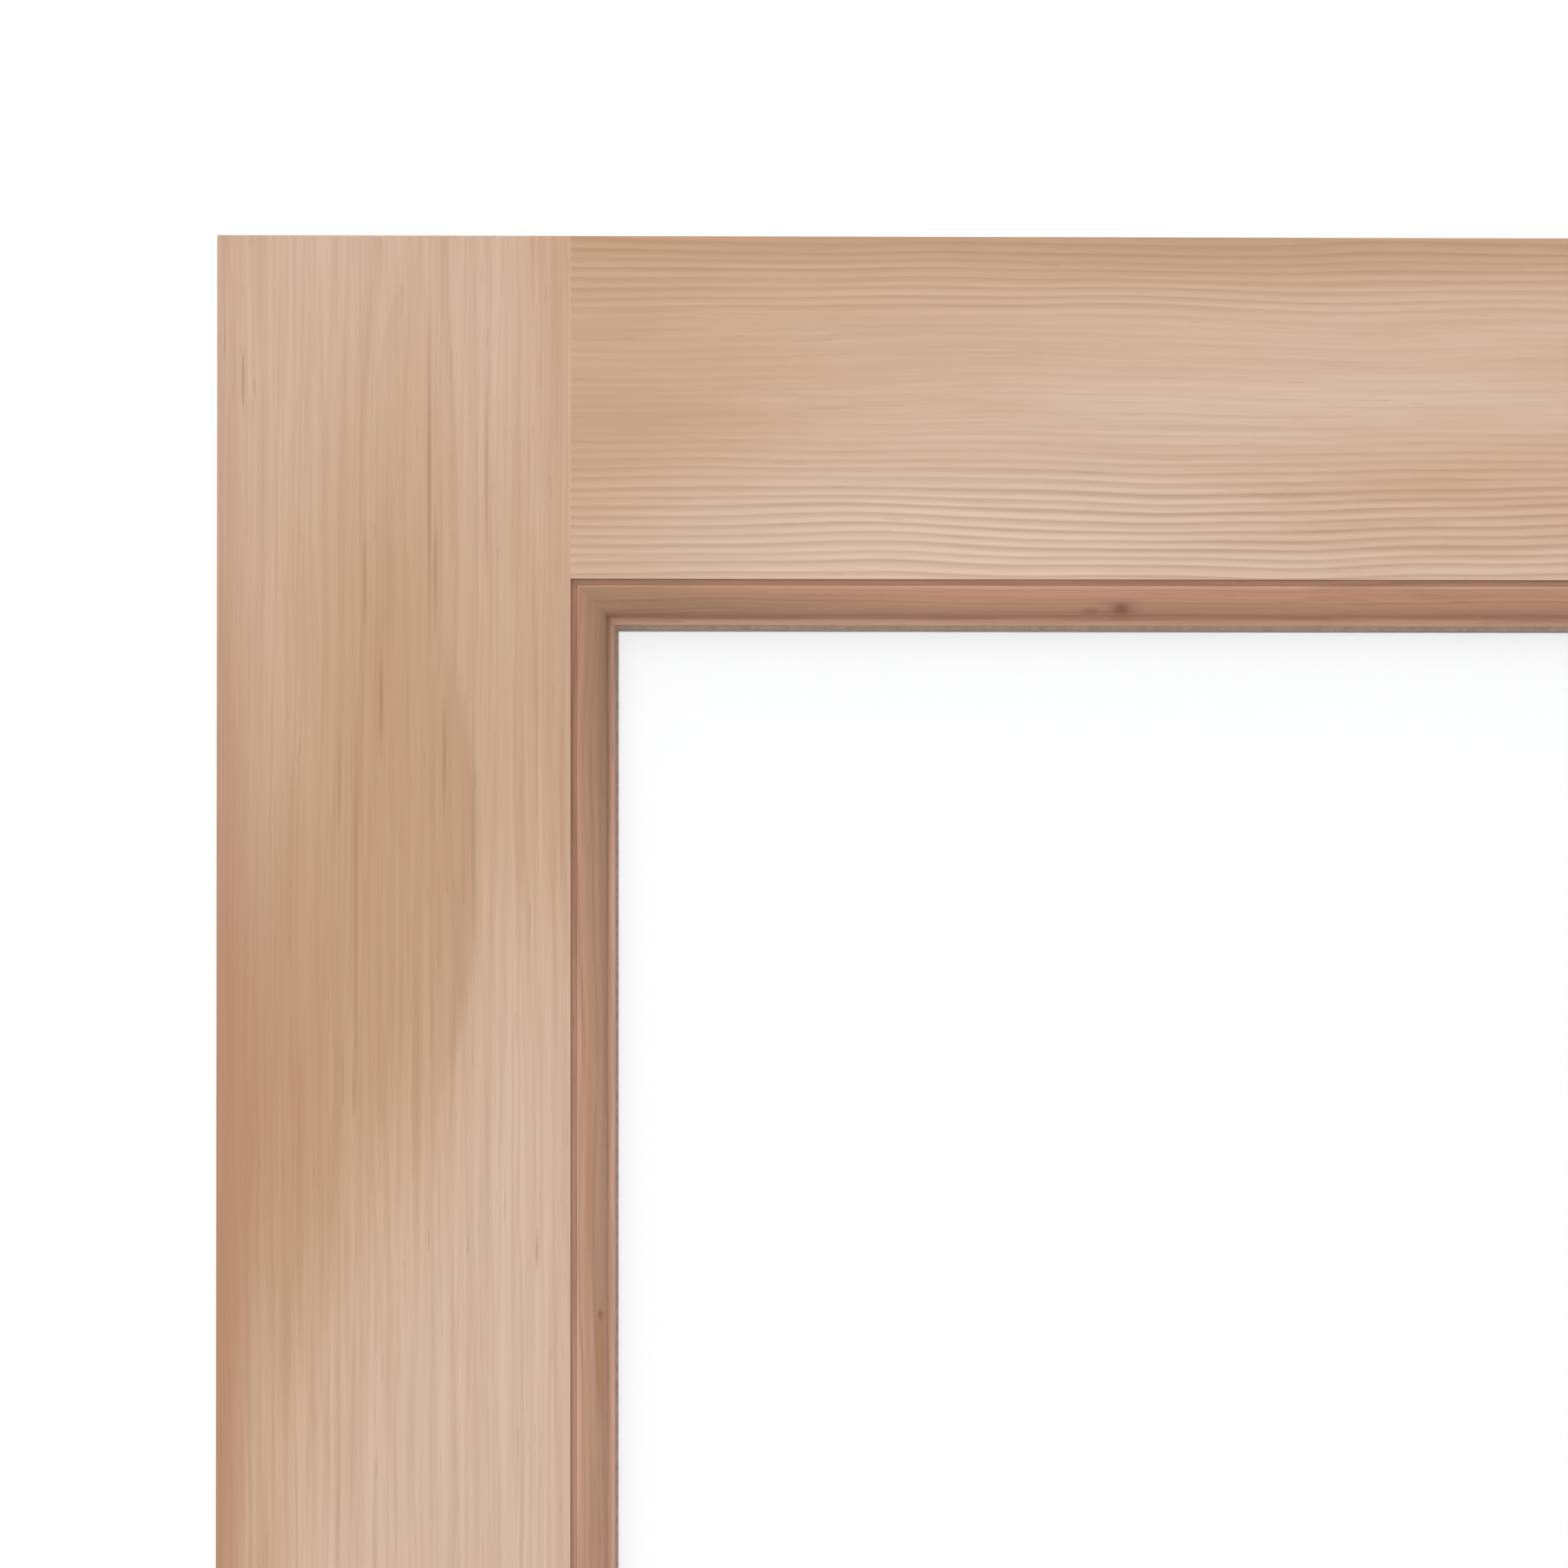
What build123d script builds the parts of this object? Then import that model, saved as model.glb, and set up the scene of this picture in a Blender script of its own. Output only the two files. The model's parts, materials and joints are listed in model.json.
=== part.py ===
from build123d import *
import math
import os

# Prehung glazed sauna door: a stile-and-rail leaf hung on three butt hinges in its own jamb.
# Millimetres. +X runs across the doorway towards the hinges, +Y into the hot room, +Z up.
# The origin is the middle of the sill's underside, halfway through the jamb's depth.
# The leaf is drawn shut and then swung open about its pins to the pose it is stored in.
REST_OPENING = 90.0

# Door leaf
LEAF_WIDTH = 610.0
LEAF_HEIGHT = 2032.0
LEAF_THICKNESS = 44.5
STILE_FACE = 114.3
TOP_RAIL_FACE = 111.0
BOTTOM_RAIL_FACE = 235.0
ARRIS = 0.8

# Gaps round the closed leaf
SIDE_GAP = 3.0
HEAD_GAP = 3.0
SILL_GAP = 6.0
STOP_GAP = 1.5

# Moulding run on the hot-room side of the stiles and rails
STICKING_FLAT = 3.0
STICKING_QUIRK = 1.5
STICKING_DEPTH = 8.0

# Loose glazing beads on the outer side, mitred at the corners
BEAD_WIDTH = 15.9
BEAD_SINK = 1.5
BEAD_THICKNESS = 11.5
BEAD_QUIRK_WIDTH = 2.0
BEAD_QUIRK_DEPTH = 1.2
BEAD_OVOLO_WIDTH = 10.0
BEAD_OVOLO_DROP = 5.6
BEAD_STEP = 1.0

# Sealed glass unit and what it is bedded on
PANE_THICKNESS = 4.0
PANE_ARRIS = 0.4
SPACER_DEPTH = 8.0
SPACER_WIDTH = 6.5
SEAL_WIDTH = 5.5
GLASS_EDGE_GAP = 3.0
TAPE_THICKNESS = 1.0
TAPE_REVEAL = 1.1
INNER_TAPE_SETBACK = 0.5
BLOCK_LENGTH = 60.0

# Dowelled shoulders
DOWEL_RADIUS = 6.35
DOWEL_LENGTH = 100.0
DOWEL_CHAMFER = 1.5
DOWEL_SET_IN = 22.0
DOWEL_EDGE = 32.0
DOWEL_END_ROOM = 1.0
PRESS_ROOM = 0.03

# Jamb, stops and sill
JAMB_DEPTH = 116.0
JAMB_THICKNESS = 19.0
RABBET_DEPTH = 9.5
KERF_WIDTH = 3.0
KERF_DEPTH = 4.0
KERF_OFFSET = 15.0
STOP_WIDTH = 35.0
STOP_THICKNESS = 11.0
STOP_EASE = 2.0
SILL_HEIGHT = 19.0
SILL_BEVEL_RUN = 12.0
SILL_BEVEL_DROP = 6.0
FIXING_RADIUS = 2.75
FIXING_COUNTERSINK = 5.2
FIXING_SET_BACK = 18.0
FIXING_LOW = 150.0
FIXING_SPACING = 590.0
FIXING_DROP = 130.0

# Butt hinges
HINGE_HEIGHT = 89.0
HINGE_REACH = 44.5
HINGE_GAUGE = 2.3
HINGE_CORNER = 6.0
KNUCKLE_COUNT = 5
KNUCKLE_RADIUS = 5.5
KNUCKLE_GAP = 0.25
KNUCKLE_CLEARANCE = 0.4
PIN_RADIUS = 3.0
PIN_CLEARANCE = 0.05
PIN_STANDOFF = 6.5
PIN_HEAD_RADIUS = 4.7
PIN_HEAD_HEIGHT = 3.0
TOP_HINGE_DROP = 178.0
BOTTOM_HINGE_RISE = 279.0
HINGE_SCREW_PITCH = 32.0
HINGE_SCREW_NEAR = 17.0
HINGE_SCREW_FAR = 31.0

# Screws: head radius, shank radius and length
HINGE_SCREW_HEAD = 4.0
HINGE_SCREW_SHANK = 2.1
LEAF_SCREW_LENGTH = 30.0
JAMB_SCREW_LENGTH = 16.0
SMALL_SCREW_HEAD = 3.1
SMALL_SCREW_SHANK = 1.6
SMALL_SCREW_LENGTH = 16.0
FRAME_SCREW_HEAD = 4.2
FRAME_SCREW_SHANK = 2.2
FRAME_SCREW_LENGTH = 50.0
SCREW_TIP = 4.0
SCREW_ROOM = 0.05
HEAD_SCREW_SPREAD = 42.0
SILL_SCREW_SPREAD = 32.0

# Headless pins that hold the beads and the stops
NAIL_RADIUS = 0.8
NAIL_POINT = 2.0
NAIL_SUNK = 1.0
NAIL_END_DISTANCE = 50.0
NAIL_PITCH = 330.0
BEAD_NAIL_LENGTH = 30.0
STOP_NAIL_LENGTH = 24.0

# Roller catch in the latch edge
CATCH_HEIGHT = 1016.0
FACEPLATE_WIDTH = 25.4
FACEPLATE_HEIGHT = 57.0
FACEPLATE_GAUGE = 2.0
FACEPLATE_CORNER = 3.0
CATCH_SCREW_SPREAD = 22.0
BARREL_RADIUS = 11.0
BARREL_WALL = 2.0
BARREL_LENGTH = 44.0
PLUNGER_NOSE_RADIUS = 7.4
PLUNGER_LENGTH = 24.0
PLUNGER_NOSE = 1.5
PLUNGER_CLEARANCE = 0.08
ROLLER_RADIUS = 6.0
ROLLER_LENGTH = 7.0
ROLLER_SIDE_GAP = 0.25
ROLLER_BITE = 1.2
ROLLER_PIN_RADIUS = 1.25
ROLLER_PIN_LENGTH = 14.0
SPRING_SEAT_RADIUS = 4.2
SPRING_SEAT_DEPTH = 12.0
SPRING_RADIUS = 3.3
SPRING_WIRE = 0.45
SPRING_WIRE_FLATS = 6
SPRING_TURNS = 6
SPRING_END_GAP = 0.3

# Strike plate on the latch jamb
STRIKE_GAUGE = 1.6
STRIKE_HEIGHT = 57.0
STRIKE_BACK = 14.0
STRIKE_WINDOW_ROOM = 0.6
STRIKE_POCKET_DEPTH = 5.0
STRIKE_POCKET_ROOM = 1.0
LIP_HEIGHT = 28.0
LIP_RADIUS = 7.0
LIP_SWEEP = 60.0

# Wooden pull handles
HANDLE_LENGTH = 300.0
HANDLE_TOP_LENGTH = 262.0
HANDLE_WIDTH = 30.0
HANDLE_PROJECTION = 50.0
HANDLE_BAR = 20.0
HANDLE_FOOT = 50.0
HANDLE_FOOT_SLOPE = 14.0
HANDLE_OUTER_ROUND = 18.0
HANDLE_INNER_ROUND = 12.0
HANDLE_EASE = 4.0
BOLT_RADIUS = 3.0
BOLT_HEAD_RADIUS = 5.5
BOLT_HEAD_HEIGHT = 4.0
BOLT_SEAT = 30.0
BOLT_INSET = 38.0
BOLT_SOCKET_RADIUS = 2.0
BOLT_SOCKET_DEPTH = 2.5
INSERT_RADIUS = 4.75
INSERT_LENGTH = 20.0
BOLT_ENGAGEMENT = 17.0
PLUG_RADIUS = 6.5
PLUG_LENGTH = 14.0

# Places that follow from the sizes above
FACE_Y = -JAMB_DEPTH / 2
BACK_Y = FACE_Y + LEAF_THICKNESS
LEAF_EDGE = LEAF_WIDTH / 2
LEAF_BOTTOM = SILL_HEIGHT + SILL_GAP
LEAF_TOP = LEAF_BOTTOM + LEAF_HEIGHT
JAMB_FACE = LEAF_EDGE + SIDE_GAP
HEAD_FACE = LEAF_TOP + HEAD_GAP
HEAD_TOP = HEAD_FACE + JAMB_THICKNESS
PIN_X = LEAF_EDGE + SIDE_GAP / 2
PIN_Y = FACE_Y - PIN_STANDOFF
UNIT_THICKNESS = 2 * PANE_THICKNESS + SPACER_DEPTH
UNIT_FRONT = BEAD_SINK + BEAD_THICKNESS + TAPE_THICKNESS
REBATE_DEPTH = UNIT_FRONT + UNIT_THICKNESS + TAPE_THICKNESS
SIGHT_WIDTH = LEAF_WIDTH - 2 * STILE_FACE
SIGHT_BOTTOM = LEAF_BOTTOM + BOTTOM_RAIL_FACE
SIGHT_TOP = LEAF_TOP - TOP_RAIL_FACE
SIGHT_HEIGHT = SIGHT_TOP - SIGHT_BOTTOM
SIGHT_EDGE = SIGHT_WIDTH / 2
CATCH_Y = FACE_Y + LEAF_THICKNESS / 2
CATCH_Z = LEAF_BOTTOM + CATCH_HEIGHT
HANDLE_X = -LEAF_EDGE + STILE_FACE / 2
BOLT_HEIGHTS = (CATCH_Z - HANDLE_LENGTH / 2 + BOLT_INSET, CATCH_Z + HANDLE_LENGTH / 2 - BOLT_INSET)
TOP_HINGE_BASE = LEAF_TOP - TOP_HINGE_DROP - HINGE_HEIGHT
BOTTOM_HINGE_BASE = LEAF_BOTTOM + BOTTOM_HINGE_RISE
HINGE_BASES = {
    "top": TOP_HINGE_BASE,
    "middle": (TOP_HINGE_BASE + BOTTOM_HINGE_BASE) / 2,
    "bottom": BOTTOM_HINGE_BASE,
}
INTO_LEAF_FROM_HINGES = (-1, 0, 0)
INTO_LEAF_FROM_LATCH = (1, 0, 0)


def block(low, high):
    """Rectangular block between two corners."""
    size = [b - a for a, b in zip(low, high)]
    middle = [(a + b) / 2 for a, b in zip(low, high)]
    return Pos(*middle) * Box(*size)


def rod(start, direction, radius, length):
    """Plain cylinder from a point along a direction."""
    return extrude(Plane(origin=start, z_dir=direction) * Circle(radius), length)


def turned(profile, start, direction):
    """Turned solid: a profile of (radius, depth) points spun about the line from a point."""
    outline = Polyline(*[(radius, 0, depth) for radius, depth in profile], close=True)
    return Plane(origin=start, z_dir=direction) * revolve(make_face(outline), Axis.Z)


def group(pieces):
    """Separate solids kept together in one node."""
    return Compound(children=list(pieces))


def screw(start, direction, head, shank, length):
    """Countersunk wood screw; the start is the middle of its head's flat."""
    profile = ((0, 0), (head, 0), (shank, head - shank), (shank, length - SCREW_TIP), (0, length))
    return turned(profile, start, direction)


def screw_hole(start, direction, head, shank, length):
    """Room for a countersunk screw: its own form, a little larger all over."""
    wide = shank + SCREW_ROOM
    mouth = head + SCREW_ROOM
    end = length + SCREW_ROOM
    profile = ((0, 0), (mouth, 0), (wide, head - shank), (wide, end), (0, end))
    return turned(profile, start, direction)


def nail(start, direction, length):
    """Headless pin from a point along a direction, pointed at its far end."""
    profile = ((0, 0), (NAIL_RADIUS, 0), (NAIL_RADIUS, length - NAIL_POINT), (0, length))
    return turned(profile, start, direction)


def nail_hole(start, direction, length):
    """Bore for a pin, from the wood's surface over its sunken end."""
    mouth = [a - NAIL_SUNK * b for a, b in zip(start, direction)]
    return rod(mouth, direction, NAIL_RADIUS + PRESS_ROOM, NAIL_SUNK + length + PRESS_ROOM)


def evenly(first, last, longest):
    """Even places from the first to the last, no further apart than the longest space."""
    spaces = math.ceil((last - first) / longest)
    return [first + (last - first) * index / spaces for index in range(spaces + 1)]


# Stiles and rails


def member_section(face):
    """Section of a stile or rail: across the board from its outer edge, back from its outer face."""
    lip = face + BEAD_WIDTH
    quirk = face + STICKING_FLAT
    back = LEAF_THICKNESS
    spring_line = back - STICKING_DEPTH
    round_width = lip - quirk
    round_depth = STICKING_DEPTH - STICKING_QUIRK
    ovolo = EllipticalCenterArc((quirk, spring_line), round_width, round_depth, start_angle=0, arc_size=90)
    rest = Polyline(
        (quirk, back - STICKING_QUIRK),
        (quirk, back),
        (ARRIS, back),
        (0, back - ARRIS),
        (0, ARRIS),
        (ARRIS, 0),
        (face, 0),
        (face, REBATE_DEPTH),
        (lip, REBATE_DEPTH),
        (lip, spring_line),
    )
    return make_face(ovolo + rest)


def stile_blank(side):
    """Full-height stile with its rebate and moulding; side is -1 at the latch and 1 at the hinges."""
    if side < 0:
        place = Plane(origin=(-LEAF_EDGE, FACE_Y, LEAF_BOTTOM), x_dir=(1, 0, 0), z_dir=(0, 0, 1))
    else:
        place = Plane(origin=(LEAF_EDGE, FACE_Y, LEAF_TOP), x_dir=(-1, 0, 0), z_dir=(0, 0, -1))
    stile = place * extrude(member_section(STILE_FACE), LEAF_HEIGHT)
    end_edges = stile.faces().filter_by(Axis.Z).edges().filter_by(Axis.X)
    long_edges = end_edges.filter_by(lambda edge: edge.length > STILE_FACE / 2)
    return chamfer(long_edges, ARRIS)


def rail_blank(place, face):
    """Rail between the stiles' rebates, its ends coped over their moulding."""
    rail = place * extrude(member_section(face), SIGHT_WIDTH)
    return rail - stile_blank(-1) - stile_blank(1)


def top_rail_dowel_heights():
    """Heights of the dowels in each top shoulder."""
    return (LEAF_TOP - DOWEL_EDGE, SIGHT_TOP + DOWEL_EDGE)


def bottom_rail_dowel_heights():
    """Heights of the dowels in each bottom shoulder."""
    low = LEAF_BOTTOM + DOWEL_EDGE
    high = SIGHT_BOTTOM - DOWEL_EDGE
    return (low, (low + high) / 2, high)


def dowel_places(heights):
    """Start of each dowel, on both sides of the leaf, at the given heights."""
    places = []
    for side in (-1, 1):
        for height in heights:
            start = (side * SIGHT_EDGE - DOWEL_LENGTH / 2, FACE_Y + DOWEL_SET_IN, height)
            places.append(start)
    return places


def dowels(heights):
    """Dowels with eased ends across the shoulders."""
    inner = DOWEL_RADIUS - DOWEL_CHAMFER
    profile = (
        (0, 0),
        (inner, 0),
        (DOWEL_RADIUS, DOWEL_CHAMFER),
        (DOWEL_RADIUS, DOWEL_LENGTH - DOWEL_CHAMFER),
        (inner, DOWEL_LENGTH),
        (0, DOWEL_LENGTH),
    )
    return group(turned(profile, start, (1, 0, 0)) for start in dowel_places(heights))


def dowel_holes(heights):
    """Bores for the dowels, with room for glue at their ends."""
    length = DOWEL_LENGTH + 2 * DOWEL_END_ROOM
    bores = []
    for x, y, z in dowel_places(heights):
        bores.append(rod((x - DOWEL_END_ROOM, y, z), (1, 0, 0), DOWEL_RADIUS + PRESS_ROOM, length))
    return bores


def latch_stile():
    """Stile that carries the roller catch and the handles."""
    stile = stile_blank(-1) - dowel_holes(top_rail_dowel_heights()) - dowel_holes(bottom_rail_dowel_heights())
    stile -= bead_nails("latch_side", nail_hole)
    stile -= faceplate_blank()
    mouth = (-LEAF_EDGE, CATCH_Y, CATCH_Z)
    stile -= rod(mouth, INTO_LEAF_FROM_LATCH, BARREL_RADIUS + PRESS_ROOM, catch_depth())
    stile -= [screw_hole(*place) for place in catch_screw_places()]
    for height in BOLT_HEIGHTS:
        stile -= rod((HANDLE_X, FACE_Y, height), (0, 1, 0), BOLT_RADIUS + PIN_CLEARANCE, LEAF_THICKNESS)
    return stile


def hinge_stile():
    """Stile let in for the three hinge plates and bored for their screws."""
    stile = stile_blank(1) - dowel_holes(top_rail_dowel_heights()) - dowel_holes(bottom_rail_dowel_heights())
    stile -= bead_nails("hinge_side", nail_hole)
    for base in HINGE_BASES.values():
        stile -= hinge_flap(-1, base)
        stile -= [screw_hole(*place) for place in hinge_screw_places(-1, base)]
    return stile


def top_rail():
    """Rail over the glass."""
    place = Plane(origin=(-SIGHT_EDGE, FACE_Y, LEAF_TOP), x_dir=(0, 0, -1), z_dir=(1, 0, 0))
    rail = rail_blank(place, TOP_RAIL_FACE) - dowel_holes(top_rail_dowel_heights())
    return rail - bead_nails("top", nail_hole)


def bottom_rail():
    """Deeper rail under the glass."""
    place = Plane(origin=(SIGHT_EDGE, FACE_Y, LEAF_BOTTOM), x_dir=(0, 0, 1), z_dir=(-1, 0, 0))
    rail = rail_blank(place, BOTTOM_RAIL_FACE) - dowel_holes(bottom_rail_dowel_heights())
    return rail - bead_nails("bottom", nail_hole)


# Glazing


def bead_section():
    """Bead section: quirk beside the frame, flat ovolo, then a small step to a fillet."""
    crest = BEAD_SINK
    back = BEAD_SINK + BEAD_THICKNESS
    ovolo_end = BEAD_QUIRK_WIDTH + BEAD_OVOLO_WIDTH
    fillet_face = crest + BEAD_OVOLO_DROP + BEAD_STEP
    width = BEAD_WIDTH - TAPE_REVEAL
    centre = (BEAD_QUIRK_WIDTH, crest + BEAD_OVOLO_DROP)
    ovolo = EllipticalCenterArc(centre, BEAD_OVOLO_WIDTH, BEAD_OVOLO_DROP, start_angle=-90, arc_size=90)
    rest = Polyline(
        (ovolo_end, crest + BEAD_OVOLO_DROP),
        (ovolo_end, fillet_face),
        (width, fillet_face),
        (width, back),
        (0, back),
        (0, crest + BEAD_QUIRK_DEPTH),
        (BEAD_QUIRK_WIDTH, crest + BEAD_QUIRK_DEPTH),
        (BEAD_QUIRK_WIDTH, crest),
    )
    return make_face(ovolo + rest)


def bead_run(name):
    """Length of one bead and the plane it starts from: x across from the frame, y in from the outer face."""
    runs = {
        "top": ((-SIGHT_EDGE, FACE_Y, SIGHT_TOP), (0, 0, -1), (1, 0, 0), SIGHT_WIDTH),
        "bottom": ((SIGHT_EDGE, FACE_Y, SIGHT_BOTTOM), (0, 0, 1), (-1, 0, 0), SIGHT_WIDTH),
        "latch_side": ((-SIGHT_EDGE, FACE_Y, SIGHT_BOTTOM), (1, 0, 0), (0, 0, 1), SIGHT_HEIGHT),
        "hinge_side": ((SIGHT_EDGE, FACE_Y, SIGHT_TOP), (-1, 0, 0), (0, 0, -1), SIGHT_HEIGHT),
    }
    origin, across, along, length = runs[name]
    return length, Plane(origin=origin, x_dir=across, z_dir=along)


def bead(name):
    """One bead along an edge of the opening, mitred at both ends and bored for its pins."""
    length, place = bead_run(name)
    strip = extrude(bead_section(), length)
    corners = Polyline(
        (0, 0, 0),
        (BEAD_WIDTH, 0, BEAD_WIDTH),
        (BEAD_WIDTH, 0, length - BEAD_WIDTH),
        (0, 0, length),
        close=True,
    )
    between_mitres = extrude(make_face(corners), LEAF_THICKNESS, dir=(0, 1, 0))
    return place * (strip & between_mitres) - bead_nails(name, nail_hole)


def bead_nails(name, shape):
    """A pin or its bore at each place along one bead, driven beside the glass into the frame."""
    length, place = bead_run(name)
    fillet_face = BEAD_SINK + BEAD_OVOLO_DROP + BEAD_STEP
    depth = (fillet_face + BEAD_SINK + BEAD_THICKNESS) / 2
    side = BEAD_WIDTH - TAPE_REVEAL - NAIL_SUNK
    heights = evenly(NAIL_END_DISTANCE, length - NAIL_END_DISTANCE, NAIL_PITCH)
    return [place * shape((side, depth, height), (-1, 0, 0), BEAD_NAIL_LENGTH) for height in heights]


def all_bead_nails():
    """Pins of all four beads."""
    nails = []
    for name in ("top", "bottom", "latch_side", "hinge_side"):
        nails += bead_nails(name, nail)
    return group(nails)


def sight_block(inset, near, far):
    """Block over the glazed opening, drawn in from its edges, between two depths in the leaf."""
    low = (-SIGHT_EDGE + inset, FACE_Y + near, SIGHT_BOTTOM + inset)
    high = (SIGHT_EDGE - inset, FACE_Y + far, SIGHT_TOP - inset)
    return block(low, high)


def ring(outer_inset, inner_inset, near, far):
    """Flat frame round the glazed opening."""
    return sight_block(outer_inset, near, far) - sight_block(inner_inset, near, far)


def pane(near):
    """Sheet of glass with its sharp edges taken off."""
    sheet = sight_block(GLASS_EDGE_GAP, near, near + PANE_THICKNESS)
    faces = sheet.faces().filter_by(Axis.Y)
    return chamfer(faces.edges(), PANE_ARRIS)


def glass_outer_pane():
    """Sheet towards the outer face."""
    return pane(UNIT_FRONT)


def glass_inner_pane():
    """Sheet towards the hot room."""
    return pane(UNIT_FRONT + PANE_THICKNESS + SPACER_DEPTH)


def edge_seal():
    """Sealant round the edge of the glass unit, outside its spacer."""
    near = UNIT_FRONT + PANE_THICKNESS
    return ring(GLASS_EDGE_GAP, GLASS_EDGE_GAP + SEAL_WIDTH, near, near + SPACER_DEPTH)


def spacer_frame():
    """Metal spacer bar between the two sheets."""
    near = UNIT_FRONT + PANE_THICKNESS
    outside = GLASS_EDGE_GAP + SEAL_WIDTH
    return ring(outside, outside + SPACER_WIDTH, near, near + SPACER_DEPTH)


def glazing_tape_outer():
    """Tape between the beads and the glass; its edge shows as a dark line."""
    return ring(GLASS_EDGE_GAP, BEAD_WIDTH, UNIT_FRONT - TAPE_THICKNESS, UNIT_FRONT)


def glazing_tape_inner():
    """Tape between the glass and the moulded lip."""
    back = UNIT_FRONT + UNIT_THICKNESS
    return ring(GLASS_EDGE_GAP, BEAD_WIDTH - INNER_TAPE_SETBACK, back, back + TAPE_THICKNESS)


def setting_blocks():
    """Two blocks that the glass unit stands on, a quarter of the way in from each end."""
    blocks = []
    for side in (-1, 1):
        middle = side * SIGHT_WIDTH / 4
        low = (middle - BLOCK_LENGTH / 2, FACE_Y + UNIT_FRONT, SIGHT_BOTTOM)
        back = FACE_Y + UNIT_FRONT + UNIT_THICKNESS
        high = (middle + BLOCK_LENGTH / 2, back, SIGHT_BOTTOM + GLASS_EDGE_GAP)
        blocks.append(block(low, high))
    return group(blocks)


# Hinges


def hinge_flap(side, base):
    """Flat part of a hinge plate, let into the wood; side is -1 on the leaf and 1 on the jamb."""
    inner = side * SIDE_GAP / 2
    outer = inner + side * HINGE_GAUGE
    start = KNUCKLE_RADIUS + KNUCKLE_CLEARANCE
    low = (PIN_X + min(inner, outer), PIN_Y + start, base)
    high = (PIN_X + max(inner, outer), PIN_Y + HINGE_REACH, base + HINGE_HEIGHT)
    flap = block(low, high)
    halfway = PIN_Y + HINGE_REACH / 2
    far_corners = flap.edges().filter_by(Axis.X).filter_by(lambda edge: edge.center().Y > halfway)
    return fillet(far_corners, HINGE_CORNER)


def hinge_knuckles(side, base):
    """Rolled knuckles of one plate with the strips that join them to its flat."""
    pitch = HINGE_HEIGHT / KNUCKLE_COUNT
    first = 0 if side > 0 else 1
    inner = side * SIDE_GAP / 2
    outer = inner + side * HINGE_GAUGE
    neck_reach = KNUCKLE_RADIUS + KNUCKLE_CLEARANCE
    knuckles = []
    for index in range(first, KNUCKLE_COUNT, 2):
        low = base + index * pitch + (KNUCKLE_GAP / 2 if index > 0 else 0)
        high = base + (index + 1) * pitch - (KNUCKLE_GAP / 2 if index < KNUCKLE_COUNT - 1 else 0)
        roll = rod((PIN_X, PIN_Y, low), (0, 0, 1), KNUCKLE_RADIUS, high - low)
        neck_low = (PIN_X + min(inner, outer), PIN_Y, low)
        neck_high = (PIN_X + max(inner, outer), PIN_Y + neck_reach, high)
        knuckles.append(roll + block(neck_low, neck_high))
    return knuckles


def hinge_screw_places(side, base):
    """Place, direction and size of each screw through one hinge plate."""
    length = LEAF_SCREW_LENGTH if side < 0 else JAMB_SCREW_LENGTH
    middle = base + HINGE_HEIGHT / 2
    places = []
    for step in (-1, 0, 1):
        reach = HINGE_SCREW_FAR if step == 0 else HINGE_SCREW_NEAR
        start = (PIN_X + side * SIDE_GAP / 2, PIN_Y + reach, middle + step * HINGE_SCREW_PITCH)
        places.append((start, (side, 0, 0), HINGE_SCREW_HEAD, HINGE_SCREW_SHANK, length))
    return places


def hinge_plate(side, base):
    """One hinge plate with its knuckles, pin bore and countersunk holes."""
    plate = hinge_flap(side, base)
    for knuckle in hinge_knuckles(side, base):
        plate += knuckle
    plate -= rod((PIN_X, PIN_Y, base), (0, 0, 1), PIN_RADIUS + PIN_CLEARANCE, HINGE_HEIGHT)
    plate -= [screw_hole(*place) for place in hinge_screw_places(side, base)]
    return plate


def hinge_pin(base):
    """Loose pin dropped in from the top, its button head on the top knuckle."""
    top = base + HINGE_HEIGHT
    neck = PIN_HEAD_RADIUS * 0.6
    profile = (
        (0, -PIN_HEAD_HEIGHT),
        (neck, -PIN_HEAD_HEIGHT),
        (PIN_HEAD_RADIUS, -PIN_HEAD_HEIGHT / 2),
        (PIN_HEAD_RADIUS, 0),
        (PIN_RADIUS, 0),
        (PIN_RADIUS, HINGE_HEIGHT - PIN_CLEARANCE - PIN_RADIUS / 2),
        (PIN_RADIUS / 2, HINGE_HEIGHT - PIN_CLEARANCE),
        (0, HINGE_HEIGHT - PIN_CLEARANCE),
    )
    return turned(profile, (PIN_X, PIN_Y, top), (0, 0, -1))


def hinge_screws(side):
    """All the screws through the plates on one side of the pins."""
    screws = []
    for base in HINGE_BASES.values():
        screws += [screw(*place) for place in hinge_screw_places(side, base)]
    return group(screws)


# Roller catch


def catch_depth():
    """How far the catch reaches into the stile."""
    return FACEPLATE_GAUGE + BARREL_LENGTH


def roller_x():
    """Middle of the roller across the doorway, with the leaf shut."""
    return -JAMB_FACE - ROLLER_BITE + ROLLER_RADIUS


def faceplate_blank():
    """Faceplate of the catch, flush in the leaf's edge."""
    outline = RectangleRounded(FACEPLATE_WIDTH, FACEPLATE_HEIGHT, FACEPLATE_CORNER)
    edge = Plane(origin=(-LEAF_EDGE, CATCH_Y, CATCH_Z), x_dir=(0, 1, 0), z_dir=(1, 0, 0))
    return extrude(edge * outline, FACEPLATE_GAUGE)


def catch_screw_places():
    """Place, direction and size of the two faceplate screws."""
    places = []
    for step in (-1, 1):
        start = (-LEAF_EDGE, CATCH_Y, CATCH_Z + step * CATCH_SCREW_SPREAD)
        places.append((start, INTO_LEAF_FROM_LATCH, SMALL_SCREW_HEAD, SMALL_SCREW_SHANK, SMALL_SCREW_LENGTH))
    return places


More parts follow.
